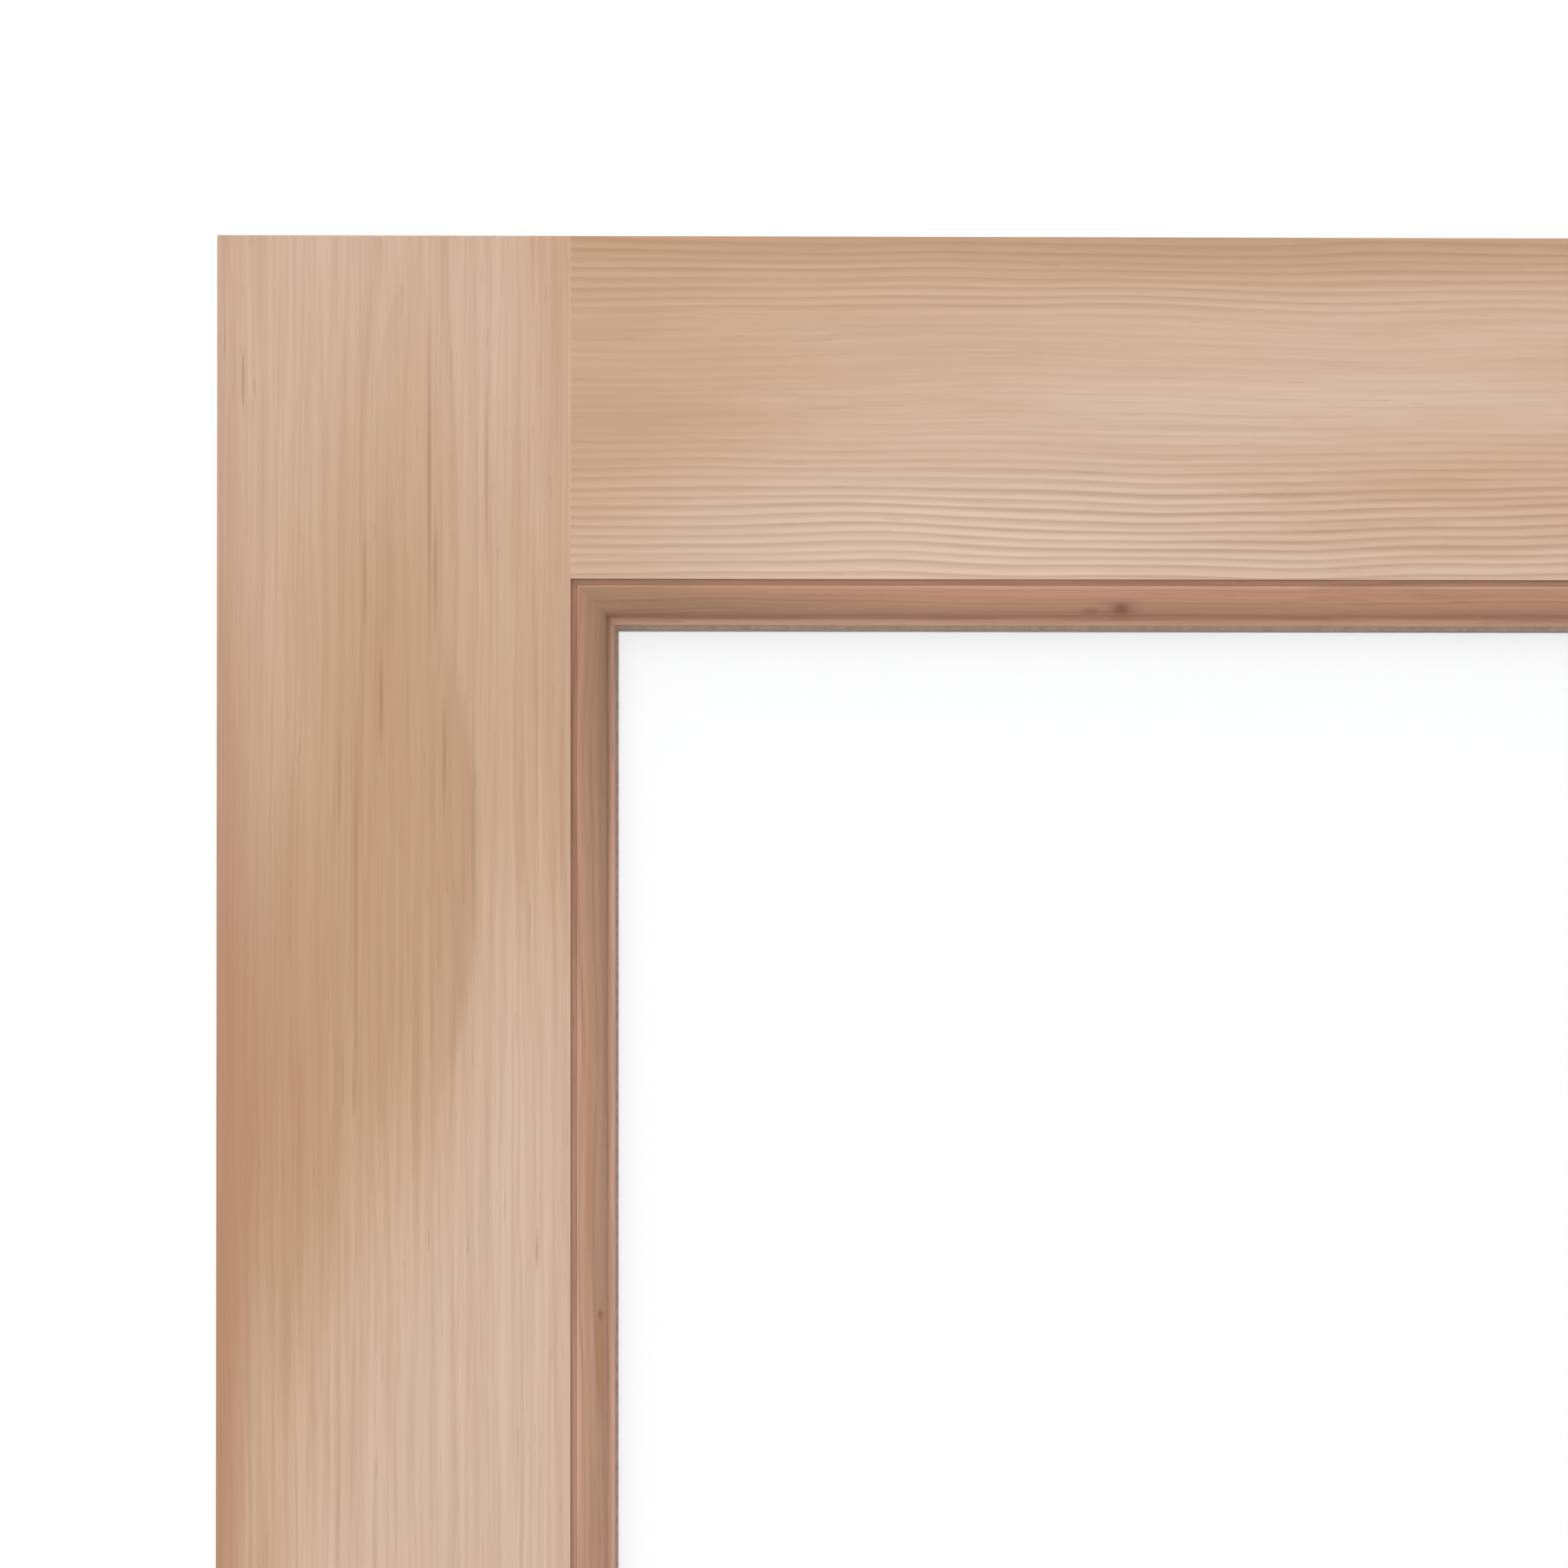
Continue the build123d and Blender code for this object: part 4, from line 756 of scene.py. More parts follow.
def turned(profile, start, steps=64):
    """Solid turned about the upright axis through start, from (radius, height) points, as a bmesh."""
    bm = bmesh.new()
    rings = []
    for index in range(steps):
        angle = 2 * math.pi * index / steps
        way = Vector((math.cos(angle), math.sin(angle), 0))
        row = [Vector(start) + way * radius + Vector((0, 0, height)) for radius, height in profile]
        rings.append([bm.verts.new(point) for point in row])
    for ring, following in zip(rings, rings[1:] + rings[:1]):
        for index in range(len(profile)):
            after = (index + 1) % len(profile)
            bm.faces.new((ring[index], ring[after], following[after], following[index]))
    bmesh.ops.remove_doubles(bm, verts=bm.verts, dist=WELD / 4)
    bmesh.ops.recalc_face_normals(bm, faces=bm.faces)
    return bm


def bead_outline():
    """Bead section in millimetres: across from the opening's edge, in from the frame's face."""
    back = BEAD_SINK + BEAD_THICKNESS
    quirk_floor = BEAD_SINK + BEAD_QUIRK_DEPTH
    quirk_end = BEAD_QUIRK_WIDTH
    corner = BEAD_QUIRK_CORNER
    quirk = [(0.0, back), (0.0, quirk_floor + corner), (corner, quirk_floor), (quirk_end, quirk_floor)]
    ovolo_end = quirk_end + BEAD_OVOLO_WIDTH
    crest = [(quirk_end, quirk_floor), (quirk_end, BEAD_SINK), (ovolo_end, BEAD_SINK)]
    ridge = rounded(crest, (0, BEAD_EDGE_ROUND, 0), steps=4)[1:-1]
    ovolo_foot = BEAD_SINK + BEAD_OVOLO_DROP
    ovolo = []
    steps = 18
    for index in range(1, steps + 1):
        angle = math.radians(90 * (0.05 + 0.95 * index / steps))
        across = quirk_end + BEAD_OVOLO_WIDTH * math.sin(angle)
        ovolo.append((across, ovolo_foot - BEAD_OVOLO_DROP * math.cos(angle)))
    fillet_face = ovolo_foot + BEAD_STEP
    fillet = [
        (ovolo_end, fillet_face - BEAD_STEP_CORNER),
        (ovolo_end + BEAD_STEP_CORNER, fillet_face),
        (BEAD_WIDTH - BEAD_EDGE_ROUND, fillet_face),
        (BEAD_WIDTH, fillet_face + BEAD_EDGE_ROUND),
        (BEAD_WIDTH, back),
    ]
    return [*quirk, *ridge, *ovolo, *fillet]


def mitred_bead(start, across, along, length):
    """Bead with both ends mitred, as a bmesh."""
    rows = ([], [])
    for side, depth in bead_outline():
        sideways = start + across * side * MM - Vector((depth * MM, 0, 0))
        rows[0].append(sideways + along * side * MM)
        rows[1].append(sideways + along * (length - side * MM))
    return swept(rows)


def handle_outline():
    """Bow handle from the side in millimetres: along from its middle, out from the leaf's face."""
    half, top_half = HANDLE_LENGTH / 2, HANDLE_TOP_LENGTH / 2
    foot = half - HANDLE_FOOT
    gap = foot - HANDLE_FOOT_SLOPE
    outer = [(-half, 0), (-top_half, HANDLE_PROJECTION), (top_half, HANDLE_PROJECTION), (half, 0)]
    inner = [(foot, 0), (gap, HANDLE_GAP_DEPTH), (-gap, HANDLE_GAP_DEPTH), (-foot, 0)]
    outer_radii = (0, HANDLE_OUTER_ROUND, HANDLE_OUTER_ROUND, 0)
    inner_radii = (0, HANDLE_INNER_ROUND, HANDLE_INNER_ROUND, 0)
    return rounded(outer + inner, outer_radii + inner_radii)


def bow_handle(centre, outward):
    """Bow handle sawn from one board, with its long edges marked for rounding, as a bmesh."""
    rows = []
    for side in (-HANDLE_WIDTH / 2, HANDLE_WIDTH / 2):
        rows.append([centre + Vector((outward * out, side, along)) * MM for along, out in handle_outline()])
    bm = swept(rows)
    weights = bm.edges.layers.float.new("bevel_weight_edge")
    for edge in bm.edges:
        first, second = (vert.co - centre for vert in edge.verts)
        along_rim = abs(first.y - second.y) < LEVEL
        off_wall = max(abs(first.x), abs(second.x)) > LEVEL
        edge[weights] = 1.0 if along_rim and off_wall else 0.0
    return bm


# Geometry Nodes for what repeats


def new_maker(name, settings):
    """Empty Geometry Nodes tree with named inputs, and its input and output nodes."""
    group = bpy.data.node_groups.new(name, "GeometryNodeTree")
    group.interface.new_socket("Geometry", in_out="INPUT", socket_type="NodeSocketGeometry")
    for label, kind in settings:
        group.interface.new_socket(label, in_out="INPUT", socket_type="NodeSocket" + kind)
    group.interface.new_socket("Geometry", in_out="OUTPUT", socket_type="NodeSocketGeometry")
    tree = NodeTree(group)
    return tree, tree.add("NodeGroupInput").outputs, tree.add("NodeGroupOutput").inputs[0]


def join_all(tree, *shapes):
    """Returns several geometries as one."""
    node = tree.add("GeometryNodeJoinGeometry")
    for shape in shapes:
        tree.tree.links.new(shape, node.inputs[0])
    return node.outputs[0]


def tube(tree, curve, sides, radius):
    """Returns a curve as a closed tube with so many sides."""
    circle = tree.made("GeometryNodeCurvePrimitiveCircle", {"Resolution": sides, "Radius": 1.0})
    values = {"Curve": curve, "Profile Curve": circle, "Scale": radius, "Fill Caps": True}
    return tree.made("GeometryNodeCurveToMesh", values)


def coil(tree, points, turns, radius, height):
    """Returns a coil about z, with so many points to a turn."""
    values = {"Resolution": points, "Rotations": turns, "Height": height}
    values.update({"Start Radius": radius, "End Radius": radius})
    return tree.made("GeometryNodeCurveSpiral", values)


def set_copies(tree, given, shape, rotation, result):
    """Sets a shape at each point, turned by a rotation, and gives the copies their material."""
    places = {"Points": given["Geometry"], "Instance": shape, "Rotation": rotation}
    copies = tree.made("GeometryNodeInstanceOnPoints", places)
    solid = tree.made("GeometryNodeRealizeInstances", {0: copies})
    tree.join(tree.made("GeometryNodeSetMaterial", {0: solid, "Material": given["Material"]}), result)


def lifted(tree, shape, height):
    """Returns a geometry moved along z by a socket's value."""
    offset = tree.xyz(z=height)
    return tree.made("GeometryNodeTransform", {"Geometry": shape, "Translation": offset})


def screw_maker():
    """Cross-recess countersunk wood screws, one at each point, driven along the point's direction."""
    if "wood_screws" in bpy.data.node_groups:
        return bpy.data.node_groups["wood_screws"]
    sizes = ("Head Radius", "Shank Radius", "Length", "Recess Width", "Thread Pitch")
    settings = [(label, "Float") for label in sizes] + [("Seed", "Int"), ("Material", "Material")]
    tree, given, result = new_maker("wood_screws", settings)
    head, shank, length = given["Head Radius"], given["Shank Radius"], given["Length"]
    head_height = tree.calc("SUBTRACT", head, shank)
    cone = {"Vertices": 40, "Radius Top": shank, "Radius Bottom": head, "Depth": head_height}
    countersink = tree.add("GeometryNodeMeshCone", cone).outputs["Mesh"]
    reach = tree.calc("MULTIPLY", head, RECESS_REACH)
    depth = tree.calc("MULTIPLY", head_height, RECESS_DEPTH)
    arms = []
    for sides in ((reach, given["Recess Width"]), (given["Recess Width"], reach)):
        size = tree.xyz(*sides, depth)
        arms.append(tree.add("GeometryNodeMeshCube", {"Size": size}).outputs["Mesh"])
    cut = tree.add("GeometryNodeMeshBoolean", {0: countersink}, operation="DIFFERENCE", solver="EXACT")
    for arm in arms:
        tree.tree.links.new(arm, cut.inputs[1])

    core = tree.calc("MULTIPLY", shank, THREAD_CORE)
    start = tree.calc("MULTIPLY", head_height, SHANK_START)
    tip = tree.calc("MULTIPLY", shank, TIP_TAPER)
    way = {"Start": tree.xyz(z=start), "End": tree.xyz(z=length)}
    line = tree.made("GeometryNodeCurvePrimitiveLine", way)
    stations = tree.made("GeometryNodeResampleCurve", {"Curve": line, "Count": 40})
    height = tree.parts(tree.made("GeometryNodeInputPosition"))["Z"]
    left = tree.calc("DIVIDE", tree.calc("SUBTRACT", length, height), tip)
    taper = tree.calc("MAXIMUM", tree.calc("MINIMUM", left, 1.0), 0.02)
    smooth_shank = tree.calc("LESS_THAN", height, tree.calc("MULTIPLY", length, SMOOTH_END))
    wide = tree.calc("MULTIPLY_ADD", smooth_shank, tree.calc("SUBTRACT", shank, core), core)
    rod = tube(tree, stations, sides=20, radius=tree.calc("MULTIPLY", wide, taper))

    run = tree.calc("SUBTRACT", tree.calc("MULTIPLY", length, 1 - THREAD_START), tip)
    turns = tree.calc("DIVIDE", run, given["Thread Pitch"])
    helix = coil(tree, points=16, turns=turns, radius=core, height=run)
    wound = tube(tree, helix, sides=4, radius=tree.calc("SUBTRACT", shank, core))
    wound = lifted(tree, wound, tree.calc("MULTIPLY", length, THREAD_START))

    drive = tree.made("GeometryNodeInputNamedAttribute", {"Name": "drive"}, data_type="FLOAT_VECTOR")
    facing = tree.made("FunctionNodeAlignRotationToVector", {"Vector": drive}, axis="Z")
    spin = tree.add(
        "FunctionNodeRandomValue",
        {"Min": 0.0, "Max": math.pi, "ID": tree.made("GeometryNodeInputIndex"), "Seed": given["Seed"]},
        data_type="FLOAT",
    )
    spin_value = next(socket for socket in spin.outputs if socket.enabled)
    twist = tree.made("FunctionNodeAxisAngleToRotation", {"Axis": (0, 0, 1), "Angle": spin_value})
    pose = tree.made("FunctionNodeRotateRotation", {0: facing, 1: twist}, rotation_space="LOCAL")
    shape = join_all(tree, cut.outputs[0], rod, wound)
    set_copies(tree, given, shape, pose, result)
    return tree.tree


def spring_maker():
    """Coil spring wound along y from a point."""
    sizes = ("Coil Radius", "Wire Radius", "Turns", "Height")
    settings = [(label, "Float") for label in sizes] + [("Material", "Material")]
    tree, given, result = new_maker("coil_spring", settings)
    helix = coil(tree, points=28, turns=given["Turns"], radius=given["Coil Radius"], height=given["Height"])
    wire = tube(tree, helix, sides=12, radius=given["Wire Radius"])
    facing = tree.made("FunctionNodeAlignRotationToVector", {"Vector": (0, 1, 0)}, axis="Z")
    set_copies(tree, given, wire, facing, result)
    return tree.tree


def grown_piece(name, places, maker, values, material):
    """Runs a Geometry Nodes tree on places and directions and keeps what it makes as a plain mesh."""
    points = bpy.data.meshes.new(name + "_places")
    points.from_pydata([place for place, way in places], [], [])
    drive = points.attributes.new("drive", "FLOAT_VECTOR", "POINT")
    drive.data.foreach_set("vector", [number for place, way in places for number in way])
    holder = bpy.data.objects.new(name + "_places", points)
    bpy.context.scene.collection.objects.link(holder)
    modifier = holder.modifiers.new("maker", "NODES")
    modifier.node_group = maker
    values = {**values, "Material": material}
    for item in maker.interface.items_tree:
        if item.in_out == "INPUT" and item.name in values:
            modifier[item.identifier] = values[item.name]
    evaluated = holder.evaluated_get(bpy.context.evaluated_depsgraph_get())
    mesh = bpy.data.meshes.new_from_object(evaluated)
    if not mesh.polygons:
        raise RuntimeError(name + ": the nodes made nothing")
    bpy.data.objects.remove(holder)
    mesh.name = name
    return link_piece(name, mesh, material)


def screw_places(node):
    """Place of each screw head and the way it is driven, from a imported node's separate solids."""
    bm = merged_node(node)
    for vert in bm.verts:
        vert.tag = False
    places = []
    for seed in bm.verts:
        if seed.tag:
            continue
        seed.tag = True
        island = [seed]
        for vert in island:
            for edge in vert.link_edges:
                other = edge.other_vert(vert)
                if not other.tag:
                    other.tag = True
                    island.append(other)
        places.append(screw_place([vert.co.copy() for vert in island]))
    bm.free()
    return places


def screw_place(corners):
    """Middle of one screw's head, and the way from it to the tip."""
    low = Vector(min(corner[axis] for corner in corners) for axis in range(3))
    high = Vector(max(corner[axis] for corner in corners) for axis in range(3))
    axis = max(range(3), key=lambda index: (high - low)[index])
    middle = (low + high) / 2
    others = [index for index in range(3) if index != axis]

    def spread(end):
        """Widest reach from the axis among the corners at one end."""
        near = [corner for corner in corners if abs(corner[axis] - end) < SCREW_END]
        return max(sum((corner[index] - middle[index]) ** 2 for index in others) for corner in near)

    head_low = spread(low[axis]) > spread(high[axis])
    start = middle.copy()
    start[axis] = low[axis] if head_low else high[axis]
    way = Vector((0, 0, 0))
    way[axis] = 1.0 if head_low else -1.0
    return start, way


class SAUNA_OT_leaf_wood(bpy.types.Operator):
    """Give the leaf's stiles, rails and dowels their pine"""

    bl_idname = "sauna.leaf_wood"
    bl_label = "Leaf Wood"

    def execute(self, context):
        wood = context.scene.sauna_wood
        dress(latch_stile_wood(wood), "latch_stile")
        dress(plain_board("hinge_stile_wood", upright, wood, (0.25, -0.05, 0.9), lean=0.02), "hinge_stile")
        dress(top_rail_wood(wood), "top_rail")
        dress(plain_board("bottom_rail_wood", level, wood, (0.22, -0.12, -0.3), lean=0.02), "bottom_rail")
        dowels = plain_board("dowel_wood_finish", level, wood, (0.28, -0.5, 0.3))
        dress(dowels, "top_rail_dowels", "bottom_rail_dowels")
        return {"FINISHED"}


class SAUNA_OT_jamb_wood(bpy.types.Operator):
    """Give the jambs, the stops and the sill their pine"""

    bl_idname = "sauna.jamb_wood"
    bl_label = "Jamb Wood"

    def execute(self, context):
        wood = context.scene.sauna_wood
        dress(plain_board("upright_jamb_wood", upright, wood, (0.05, -0.09, 0.8)), *UPRIGHT_JAMB_NODES)
        dress(plain_board("level_jamb_wood", level_in_wall, wood, (0.10, -0.12, 0.2)), *LEVEL_JAMB_NODES)
        return {"FINISHED"}


class SAUNA_OT_beads(bpy.types.Operator):
    """Build the four mitred glazing beads"""

    bl_idname = "sauna.beads"
    bl_label = "Glazing Beads"

    def execute(self, context):
        wood = context.scene.sauna_wood
        top_low, top_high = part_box("bead_top")
        side_low, side_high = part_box("bead_latch_side")
        face = top_high.x + BEAD_SINK * MM
        left, right = top_low.y, top_high.y
        foot, head = side_low.z, side_high.z
        # Top bead: its colour and knot, with painted highlights and painted shade on its moulding
        knot = (
            (wood.bead, (330, 117), (20, 150), 0.5, 0.8),
            # Painted highlights: these two pale bands lighten the fillet beside the step's shade and the
            # quirk under the rail's edge
            (wood.bead_pale_and_painted_light, (330, 124.8), (1.7, 400), 0.4, 0.7),
            (wood.bead_pale_and_painted_light, (330, 111.6), (2.2, 400), 0.3, 1.0),
            # Painted shade: this brown band darkens the down-facing foot of the ovolo
            (wood.bead_brown_and_painted_shade, (330, 120.8), (2.0, 400), 0.6, 0.35),
            (wood.bead_dark, (292.8, 120.3), (2.6, 5.0), 0.8, 0.50),
            (wood.bead_knot, (292.8, 120.3), (1.5, 2.2), 0.6, 0.85),
            (wood.bead_dark, (283.0, 121.2), (1.0, 2.6), 0.7, 0.55),
        )
        # Latch-side bead: its brown, pale and orange streaks, with painted highlights in its quirk and on its
        # fillet
        streaks = (
            (wood.bead_brown_and_painted_shade, (123.5, 180), (6.6, 105), 0.6, 0.80),
            (wood.bead_brown_and_painted_shade, (119.5, 620), (2.5, 170), 0.7, 0.60),
            (wood.bead_pale_and_painted_light, (118, 350), (14, 130), 0.8, 0.55),
            # Painted highlights: the two bands at 115.2 lighten the quirk shaded by the stile's edge, the
            # band at 128 the fillet beside the step
            (wood.bead_pale_and_painted_light, (115.2, 190), (1.6, 110), 0.4, 0.30),
            (wood.bead_pale_and_painted_light, (115.2, 400), (2.0, 150), 0.3, 0.90),
            (wood.bead_pale_and_painted_light, (128.0, 385), (2.0, 235), 0.3, 0.95),
            (wood.bead_orange, (120.6, 297), (1.2, 34), 0.8, 0.42),
            (wood.bead_orange, (124.0, 362), (1.6, 18), 0.7, 0.50),
            (wood.bead_dark, (124.0, 349), (0.8, 1.5), 0.6, 0.60),
        )
        lying = bead_wood("level_bead_wood", level, wood, (0.27, -1.90, 0.0), level_spot, knot)
        standing = bead_wood("upright_bead_wood", upright, wood, (0.27, -0.50, 0.0), upright_spot, streaks)
        runs = (
            ("bead_top", (face, left, head), (0, 0, -1), (0, 1, 0), right - left, lying),
            ("bead_bottom", (face, right, foot), (0, 0, 1), (0, -1, 0), right - left, lying),
            ("bead_latch_side", (face, left, foot), (0, 1, 0), (0, 0, 1), head - foot, standing),
            ("bead_hinge_side", (face, right, head), (0, -1, 0), (0, 0, -1), head - foot, standing),
        )
        for node, start, across, along, length, material in runs:
            bm = mitred_bead(Vector(start), Vector(across), Vector(along), length)
            shaped_piece(node, "_moulded", bm, material)
        return {"FINISHED"}


class SAUNA_OT_glazing(bpy.types.Operator):
    """Finish the panes, the seal, the spacer, the tapes and the setting blocks"""

    bl_idname = "sauna.glazing"
    bl_label = "Glass and Glazing"

    def execute(self, context):
        glass = context.scene.sauna_glass
        dress(glass_material("outer_pane_glass", glass.tint, glass.outer_clearness), "glass_outer_pane")
        dress(glass_material("inner_pane_glass", glass.tint, glass.inner_clearness), "glass_inner_pane")
        dress(plain_finish("edge_seal_rubber", glass.seal, roughness=0.6), "edge_seal")
        dress(plain_finish("spacer_metal_finish", glass.spacer, roughness=0.35, metallic=1.0), "spacer_frame")
        tape = plain_finish("glazing_tape_foam", glass.tape, roughness=0.8)
        dress(tape, "glazing_tape_outer", "glazing_tape_inner")
        dress(plain_finish("setting_block_rubber", glass.blocks, roughness=0.7), "setting_blocks")
        return {"FINISHED"}


class SAUNA_OT_handles(bpy.types.Operator):
    """Build the two bow handles and finish their plugs, inserts and bolts"""

    bl_idname = "sauna.handles"
    bl_label = "Handles"

    def execute(self, context):
        wood = context.scene.sauna_wood
        hardware = context.scene.sauna_hardware
        pine = plain_board("handle_wood_finish", upright, wood, (0.30, -0.70, 0.9), spacing=0.9, rings=0.45)
        for node, outward in (("outer_handle", 1), ("inner_handle", -1)):
            low, high, middle = box_of(node)
            wall = low.x if outward > 0 else high.x
            centre = Vector((wall, middle.y, middle.z))
            name = node + "_bow"
            piece = link_piece(name, mesh_from(name, bow_handle(centre, outward)), pine)
            bevel = piece.modifiers.new("eased_rim", "BEVEL")
            bevel.limit_method = "WEIGHT"
            bevel.width = HANDLE_EASE * MM
            bevel.segments = 6
            stand_for(piece, node)
        cut = {"lean": 0.02, "spacing": 0.6, "rings": 0.7}
        self.crown_plugs(plain_board("plug_wood_finish", upright, wood, (0.26, -0.68, 0.9), **cut))
        brass = plain_finish("insert_brass_finish", hardware.brass, roughness=0.3, metallic=1.0)
        dress(brass, "handle_inserts")
        dress(plain_finish("bolt_steel", hardware.bright, roughness=0.3, metallic=1.0), "handle_bolts")
        return {"FINISHED"}

    def crown_plugs(self, material):
        """Plugs with a slightly crowned end, so that they read on the handle's face."""
        low, high, middle = box_of("handle_plugs")
        radius = middle.y - low.y
        flush = high.x - low.x
        crown = PLUG_CROWN * MM
        profile = [(0, 0), (radius, 0), (radius, flush + 0.2 * crown), (radius * 0.9, flush + 0.7 * crown)]
        profile.append((0, flush + crown))
        shapes = bmesh.new()
        for height in (low.z + radius, high.z - radius):
            plug = mesh_from("plug", turned(profile, (0, 0, 0), steps=40))
            for vert in plug.vertices:
                along, side, out = vert.co.z, vert.co.x, vert.co.y
                vert.co = (high.x - along, middle.y + side, height + out)
            shapes.from_mesh(plug)
            bpy.data.meshes.remove(plug)
        bmesh.ops.recalc_face_normals(shapes, faces=shapes.faces)
        shaped_piece("handle_plugs", "_crowned", shapes, material)


class SAUNA_OT_hinges(bpy.types.Operator):
    """Ease the hinge plates and turn their pins"""

    bl_idname = "sauna.hinges"
    bl_label = "Hinges"

    def execute(self, context):
        hardware = context.scene.sauna_hardware
        brushed = plain_finish("brushed_hinge_steel", hardware.steel, roughness=0.34, **BRUSHED_METAL)
        radius, tip = PIN_RADIUS * MM, PIN_TIP * MM
        round_top, round_neck = PIN_HEAD_CROWN * MM, PIN_HEAD_NECK * MM
        for hinge in HINGES:
            for plate in ("_leaf_plate", "_jamb_plate"):
                eased_copy(hinge + plate, brushed, hardware.edge_round)
            low, high, middle = box_of(hinge + "_pin")
            head = middle.x - low.x
            tall = high.z - low.z
            under_head = tall - PIN_HEAD_HEIGHT * MM
            crown = arc((head - round_top, tall - round_top), round_top, 0, 90)
            neck = arc((head - round_neck, under_head + round_neck), round_neck, -90, 0, steps=5)
            shank = [(0, 0), (tip, 0), (radius, tip), (radius, under_head)]
            bm = turned([*shank, *neck, *crown, (0, tall)], (middle.x, middle.y, low.z))
            shaped_piece(hinge + "_pin", "_turned", bm, brushed)
        return {"FINISHED"}


class SAUNA_OT_catch(bpy.types.Operator):
    """Finish the roller catch and its strike plate, turn the roller and wind the spring"""

    bl_idname = "sauna.catch"
    bl_label = "Roller Catch"

    def execute(self, context):
        hardware = context.scene.sauna_hardware
        satin = plain_finish("satin_catch_steel", hardware.steel, roughness=0.32, **BRUSHED_METAL)
        for node in ("catch_case", "catch_plunger", "strike_plate"):
            eased_copy(node, satin, hardware.edge_round)
        bright = plain_finish("spring_and_pin_steel", hardware.bright, roughness=0.25, metallic=1.0)
        eased_copy("catch_roller_pin", bright, hardware.edge_round)
        even = {"grain": (500, 500, 500), "depth": 0.00001, "contrast": 0.05}
        self.turn_roller(plain_finish("roller_nylon", hardware.nylon, roughness=0.42, **even))
        self.wind_spring(bright)
        return {"FINISHED"}

    def turn_roller(self, material):
        """Roller with rounded rims, dished a little round its pin."""
        low, high, middle = box_of("catch_roller")
        side = middle.x - low.x - ROLLER_SLACK * MM
        tall = high.z - low.z
        curve, bore, dish = ROLLER_ROUND * MM, ROLLER_BORE * MM, ROLLER_DISH * MM
        rim = side - ROLLER_RIM * MM
        floor = rim - ROLLER_RIM_SLOPE * MM
        under = [(bore, dish), (floor, dish), (rim, 0)]
        foot = arc((side - curve, curve), curve, -90, 0)
        top = arc((side - curve, tall - curve), curve, 0, 90)
        over = [(rim, tall), (floor, tall - dish), (bore, tall - dish)]
        bm = turned([*under, *foot, *top, *over], (middle.x, middle.y, low.z))
        shaped_piece("catch_roller", "_turned", bm, material)

    def wind_spring(self, material):
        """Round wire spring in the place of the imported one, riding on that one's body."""
        low, high, middle = box_of("catch_spring")
        wire = SPRING_WIRE * MM
        start = Vector((middle.x, low.y + wire, middle.z))
        sizes = {
            "Coil Radius": SPRING_RADIUS * MM,
            "Wire Radius": wire,
            "Turns": SPRING_TURNS,
            "Height": high.y - low.y - 2 * wire,
        }
        places = [(start, Vector((0, 1, 0)))]
        piece = grown_piece("catch_spring_wound", places, spring_maker(), sizes, material)
        stand_for(piece, "catch_spring")
        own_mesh(piece)


class SAUNA_OT_fastenings(bpy.types.Operator):
    """Drive the cross-recess screws and finish the headless pins"""

    bl_idname = "sauna.fastenings"
    bl_label = "Screws and Pins"

    def execute(self, context):
        hardware = context.scene.sauna_hardware
        bright = plain_finish("screw_steel_finish", hardware.bright, roughness=0.28, metallic=1.0)
        for seed, (node, (head, shank, length)) in enumerate(SCREWS.items()):
            sizes = {
                "Head Radius": head * MM,
                "Shank Radius": shank * MM,
                "Length": length * MM,
                "Recess Width": hardware.recess_width * head / USUAL_HEAD,
                "Thread Pitch": hardware.thread_pitch * head / USUAL_HEAD,
                "Seed": seed,
            }
            piece = grown_piece(node + "_driven", screw_places(node), screw_maker(), sizes, bright)
            stand_for(piece, node)
        nails = plain_finish("nail_steel_finish", hardware.bright, roughness=0.4, metallic=1.0)
        dress(nails, "bead_nails", "stop_nails")
        return {"FINISHED"}


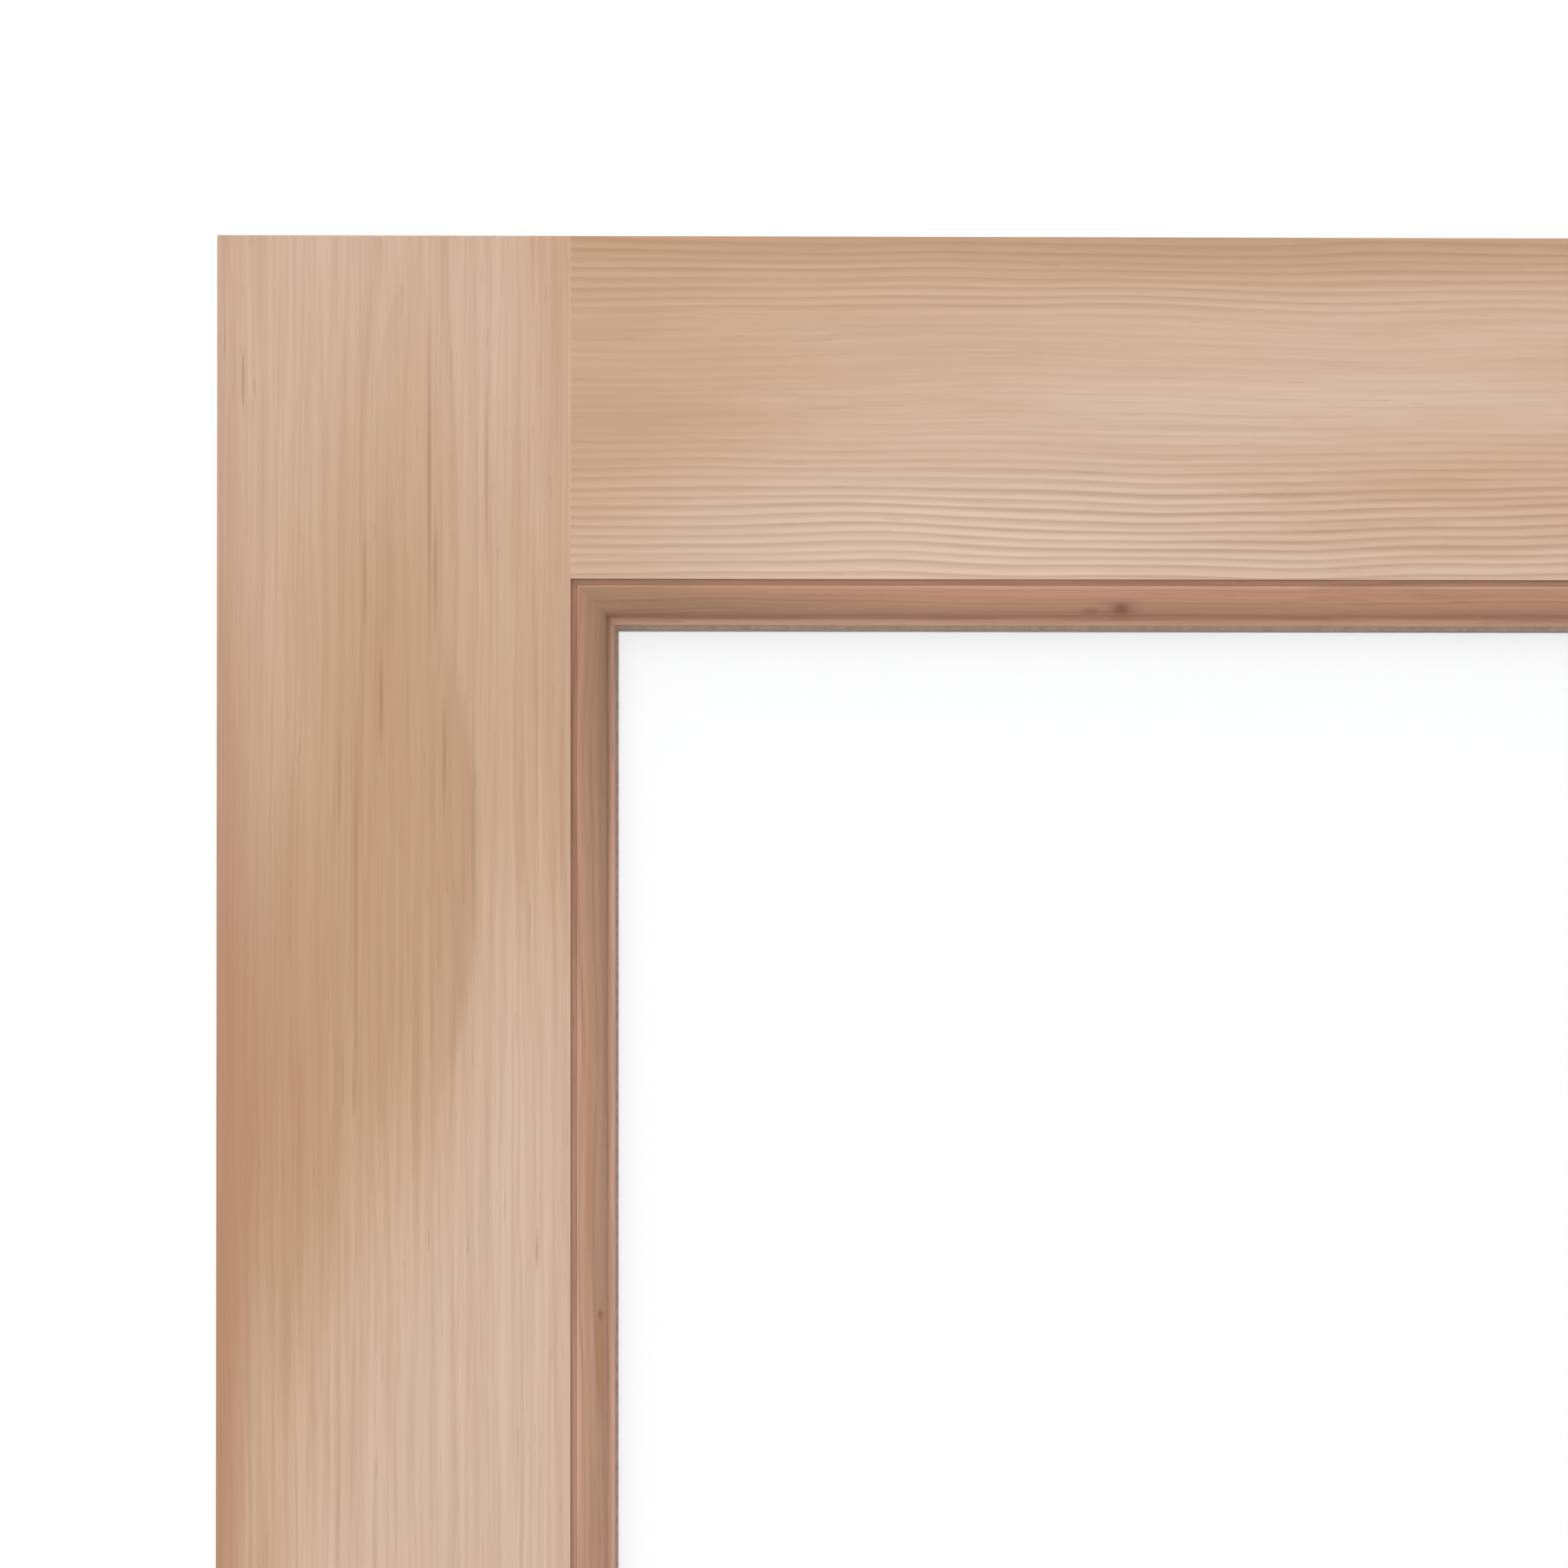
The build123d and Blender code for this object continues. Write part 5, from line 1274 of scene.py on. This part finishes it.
class SAUNA_OT_stage(bpy.types.Operator):
    """Lay the floor, hang the lamps and set up the camera"""

    bl_idname = "sauna.stage"
    bl_label = "Stage"

    def execute(self, context):
        stage = context.scene.sauna_stage
        context.scene.view_settings.view_transform = "Standard"
        self.lay_floor(stage)
        self.hang_sky(stage.sky_level)
        self.hang_lamp("key_lamp", direction=(0.76, -0.32, 0.58), level=stage.key_level, spread=45)
        self.hang_lamp("fill_lamp", direction=(-0.65, 0.35, 0.60), level=stage.fill_level, spread=60)
        self.place_camera(stage)
        return {"FINISHED"}

    def lay_floor(self, stage):
        """Lays a wide pale floor."""
        material, tree, shader = new_material("floor_paint")
        speckle = tree.noise(object_place(tree), scale=30.0, detail=3.0)
        colour = tree.tint(speckle, shade(stage.floor), shade(stage.floor_pale))
        tree.join(colour, shader.inputs["Base Color"])
        shader.inputs["Roughness"].default_value = 0.8
        half = 60.0
        mesh = bpy.data.meshes.new("floor")
        corners = [(-half, -half, 0), (half, -half, 0), (half, half, 0), (-half, half, 0)]
        mesh.from_pydata(corners, [], [(0, 1, 2, 3)])
        mesh.materials.append(material)
        floor = bpy.data.objects.new("floor", mesh)
        bpy.context.scene.collection.objects.link(floor)

    def hang_sky(self, level):
        """White to the eye, to gloss and through glass; dimmer as light."""
        world = bpy.data.worlds.new("studio_white")
        bpy.context.scene.world = world
        world.use_nodes = True
        tree = NodeTree(world.node_tree)
        path = tree.add("ShaderNodeLightPath").outputs
        seen = tree.calc("MAXIMUM", path["Is Camera Ray"], path["Is Glossy Ray"])
        seen = tree.calc("MAXIMUM", seen, path["Is Transmission Ray"])
        sky = world.node_tree.nodes["Background"]
        sky.inputs["Color"].default_value = (1, 1, 1, 1)
        tree.join(tree.calc("MULTIPLY_ADD", seen, 1.0 - level, level), sky.inputs["Strength"])

    def hang_lamp(self, name, direction, level, spread):
        """Hangs a wide soft lamp far off; at level 1 a white surface facing it shows white."""
        lamp = bpy.data.lights.new(name, "SUN")
        lamp.energy = math.pi * level
        lamp.angle = math.radians(spread)
        holder = bpy.data.objects.new(name, lamp)
        holder.rotation_euler = Vector(direction).to_track_quat("Z", "Y").to_euler()
        bpy.context.scene.collection.objects.link(holder)

    def place_camera(self, stage):
        """Looks nearly square on at the leaf's outer face, from a little to the left and below."""
        camera = bpy.data.cameras.new("camera")
        camera.sensor_width = 36.0
        camera.lens = camera.sensor_width * stage.view_distance / stage.view_width
        holder = bpy.data.objects.new("camera", camera)
        ahead = math.cos(stage.view_below)
        left = -ahead * math.sin(stage.view_left)
        back = Vector((ahead * math.cos(stage.view_left), left, -math.sin(stage.view_below)))
        centre = leaf_corner() + Vector((0, stage.view_in, -stage.view_down))
        holder.location = centre + back * stage.view_distance
        holder.rotation_euler = back.to_track_quat("Z", "Y").to_euler()
        bpy.context.scene.collection.objects.link(holder)
        bpy.context.scene.camera = holder


OPERATORS = (
    SAUNA_OT_leaf_wood,
    SAUNA_OT_jamb_wood,
    SAUNA_OT_beads,
    SAUNA_OT_glazing,
    SAUNA_OT_handles,
    SAUNA_OT_hinges,
    SAUNA_OT_catch,
    SAUNA_OT_fastenings,
    SAUNA_OT_stage,
)
SETTINGS = {
    "sauna_wood": SaunaDoorWood,
    "sauna_glass": SaunaDoorGlass,
    "sauna_hardware": SaunaDoorHardware,
    "sauna_stage": SaunaDoorStage,
}


class SAUNA_PT_sidebar(bpy.types.Panel):
    """Lists the steps that dress the door"""

    bl_idname = "SAUNA_PT_sidebar"
    bl_label = "Sauna Door"
    bl_space_type = "VIEW_3D"
    bl_region_type = "UI"
    bl_category = "Sauna Door"

    def draw(self, context):
        for operator in OPERATORS:
            self.layout.operator(operator.bl_idname)


def register():
    """Adds the settings, the operators and the panel."""
    for name, group in SETTINGS.items():
        bpy.utils.register_class(group)
        setattr(bpy.types.Scene, name, bpy.props.PointerProperty(type=group))
    for operator in OPERATORS:
        bpy.utils.register_class(operator)
    bpy.utils.register_class(SAUNA_PT_sidebar)


def unregister():
    """Takes away all that register added."""
    bpy.utils.unregister_class(SAUNA_PT_sidebar)
    for operator in reversed(OPERATORS):
        bpy.utils.unregister_class(operator)
    for name, group in reversed(SETTINGS.items()):
        delattr(bpy.types.Scene, name)
        bpy.utils.unregister_class(group)


def main():
    """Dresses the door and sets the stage."""
    register()
    bpy.ops.sauna.leaf_wood()
    bpy.ops.sauna.jamb_wood()
    bpy.ops.sauna.beads()
    bpy.ops.sauna.glazing()
    bpy.ops.sauna.handles()
    bpy.ops.sauna.hinges()
    bpy.ops.sauna.catch()
    bpy.ops.sauna.fastenings()
    bpy.ops.sauna.stage()


if __name__ == "__main__":
    main()
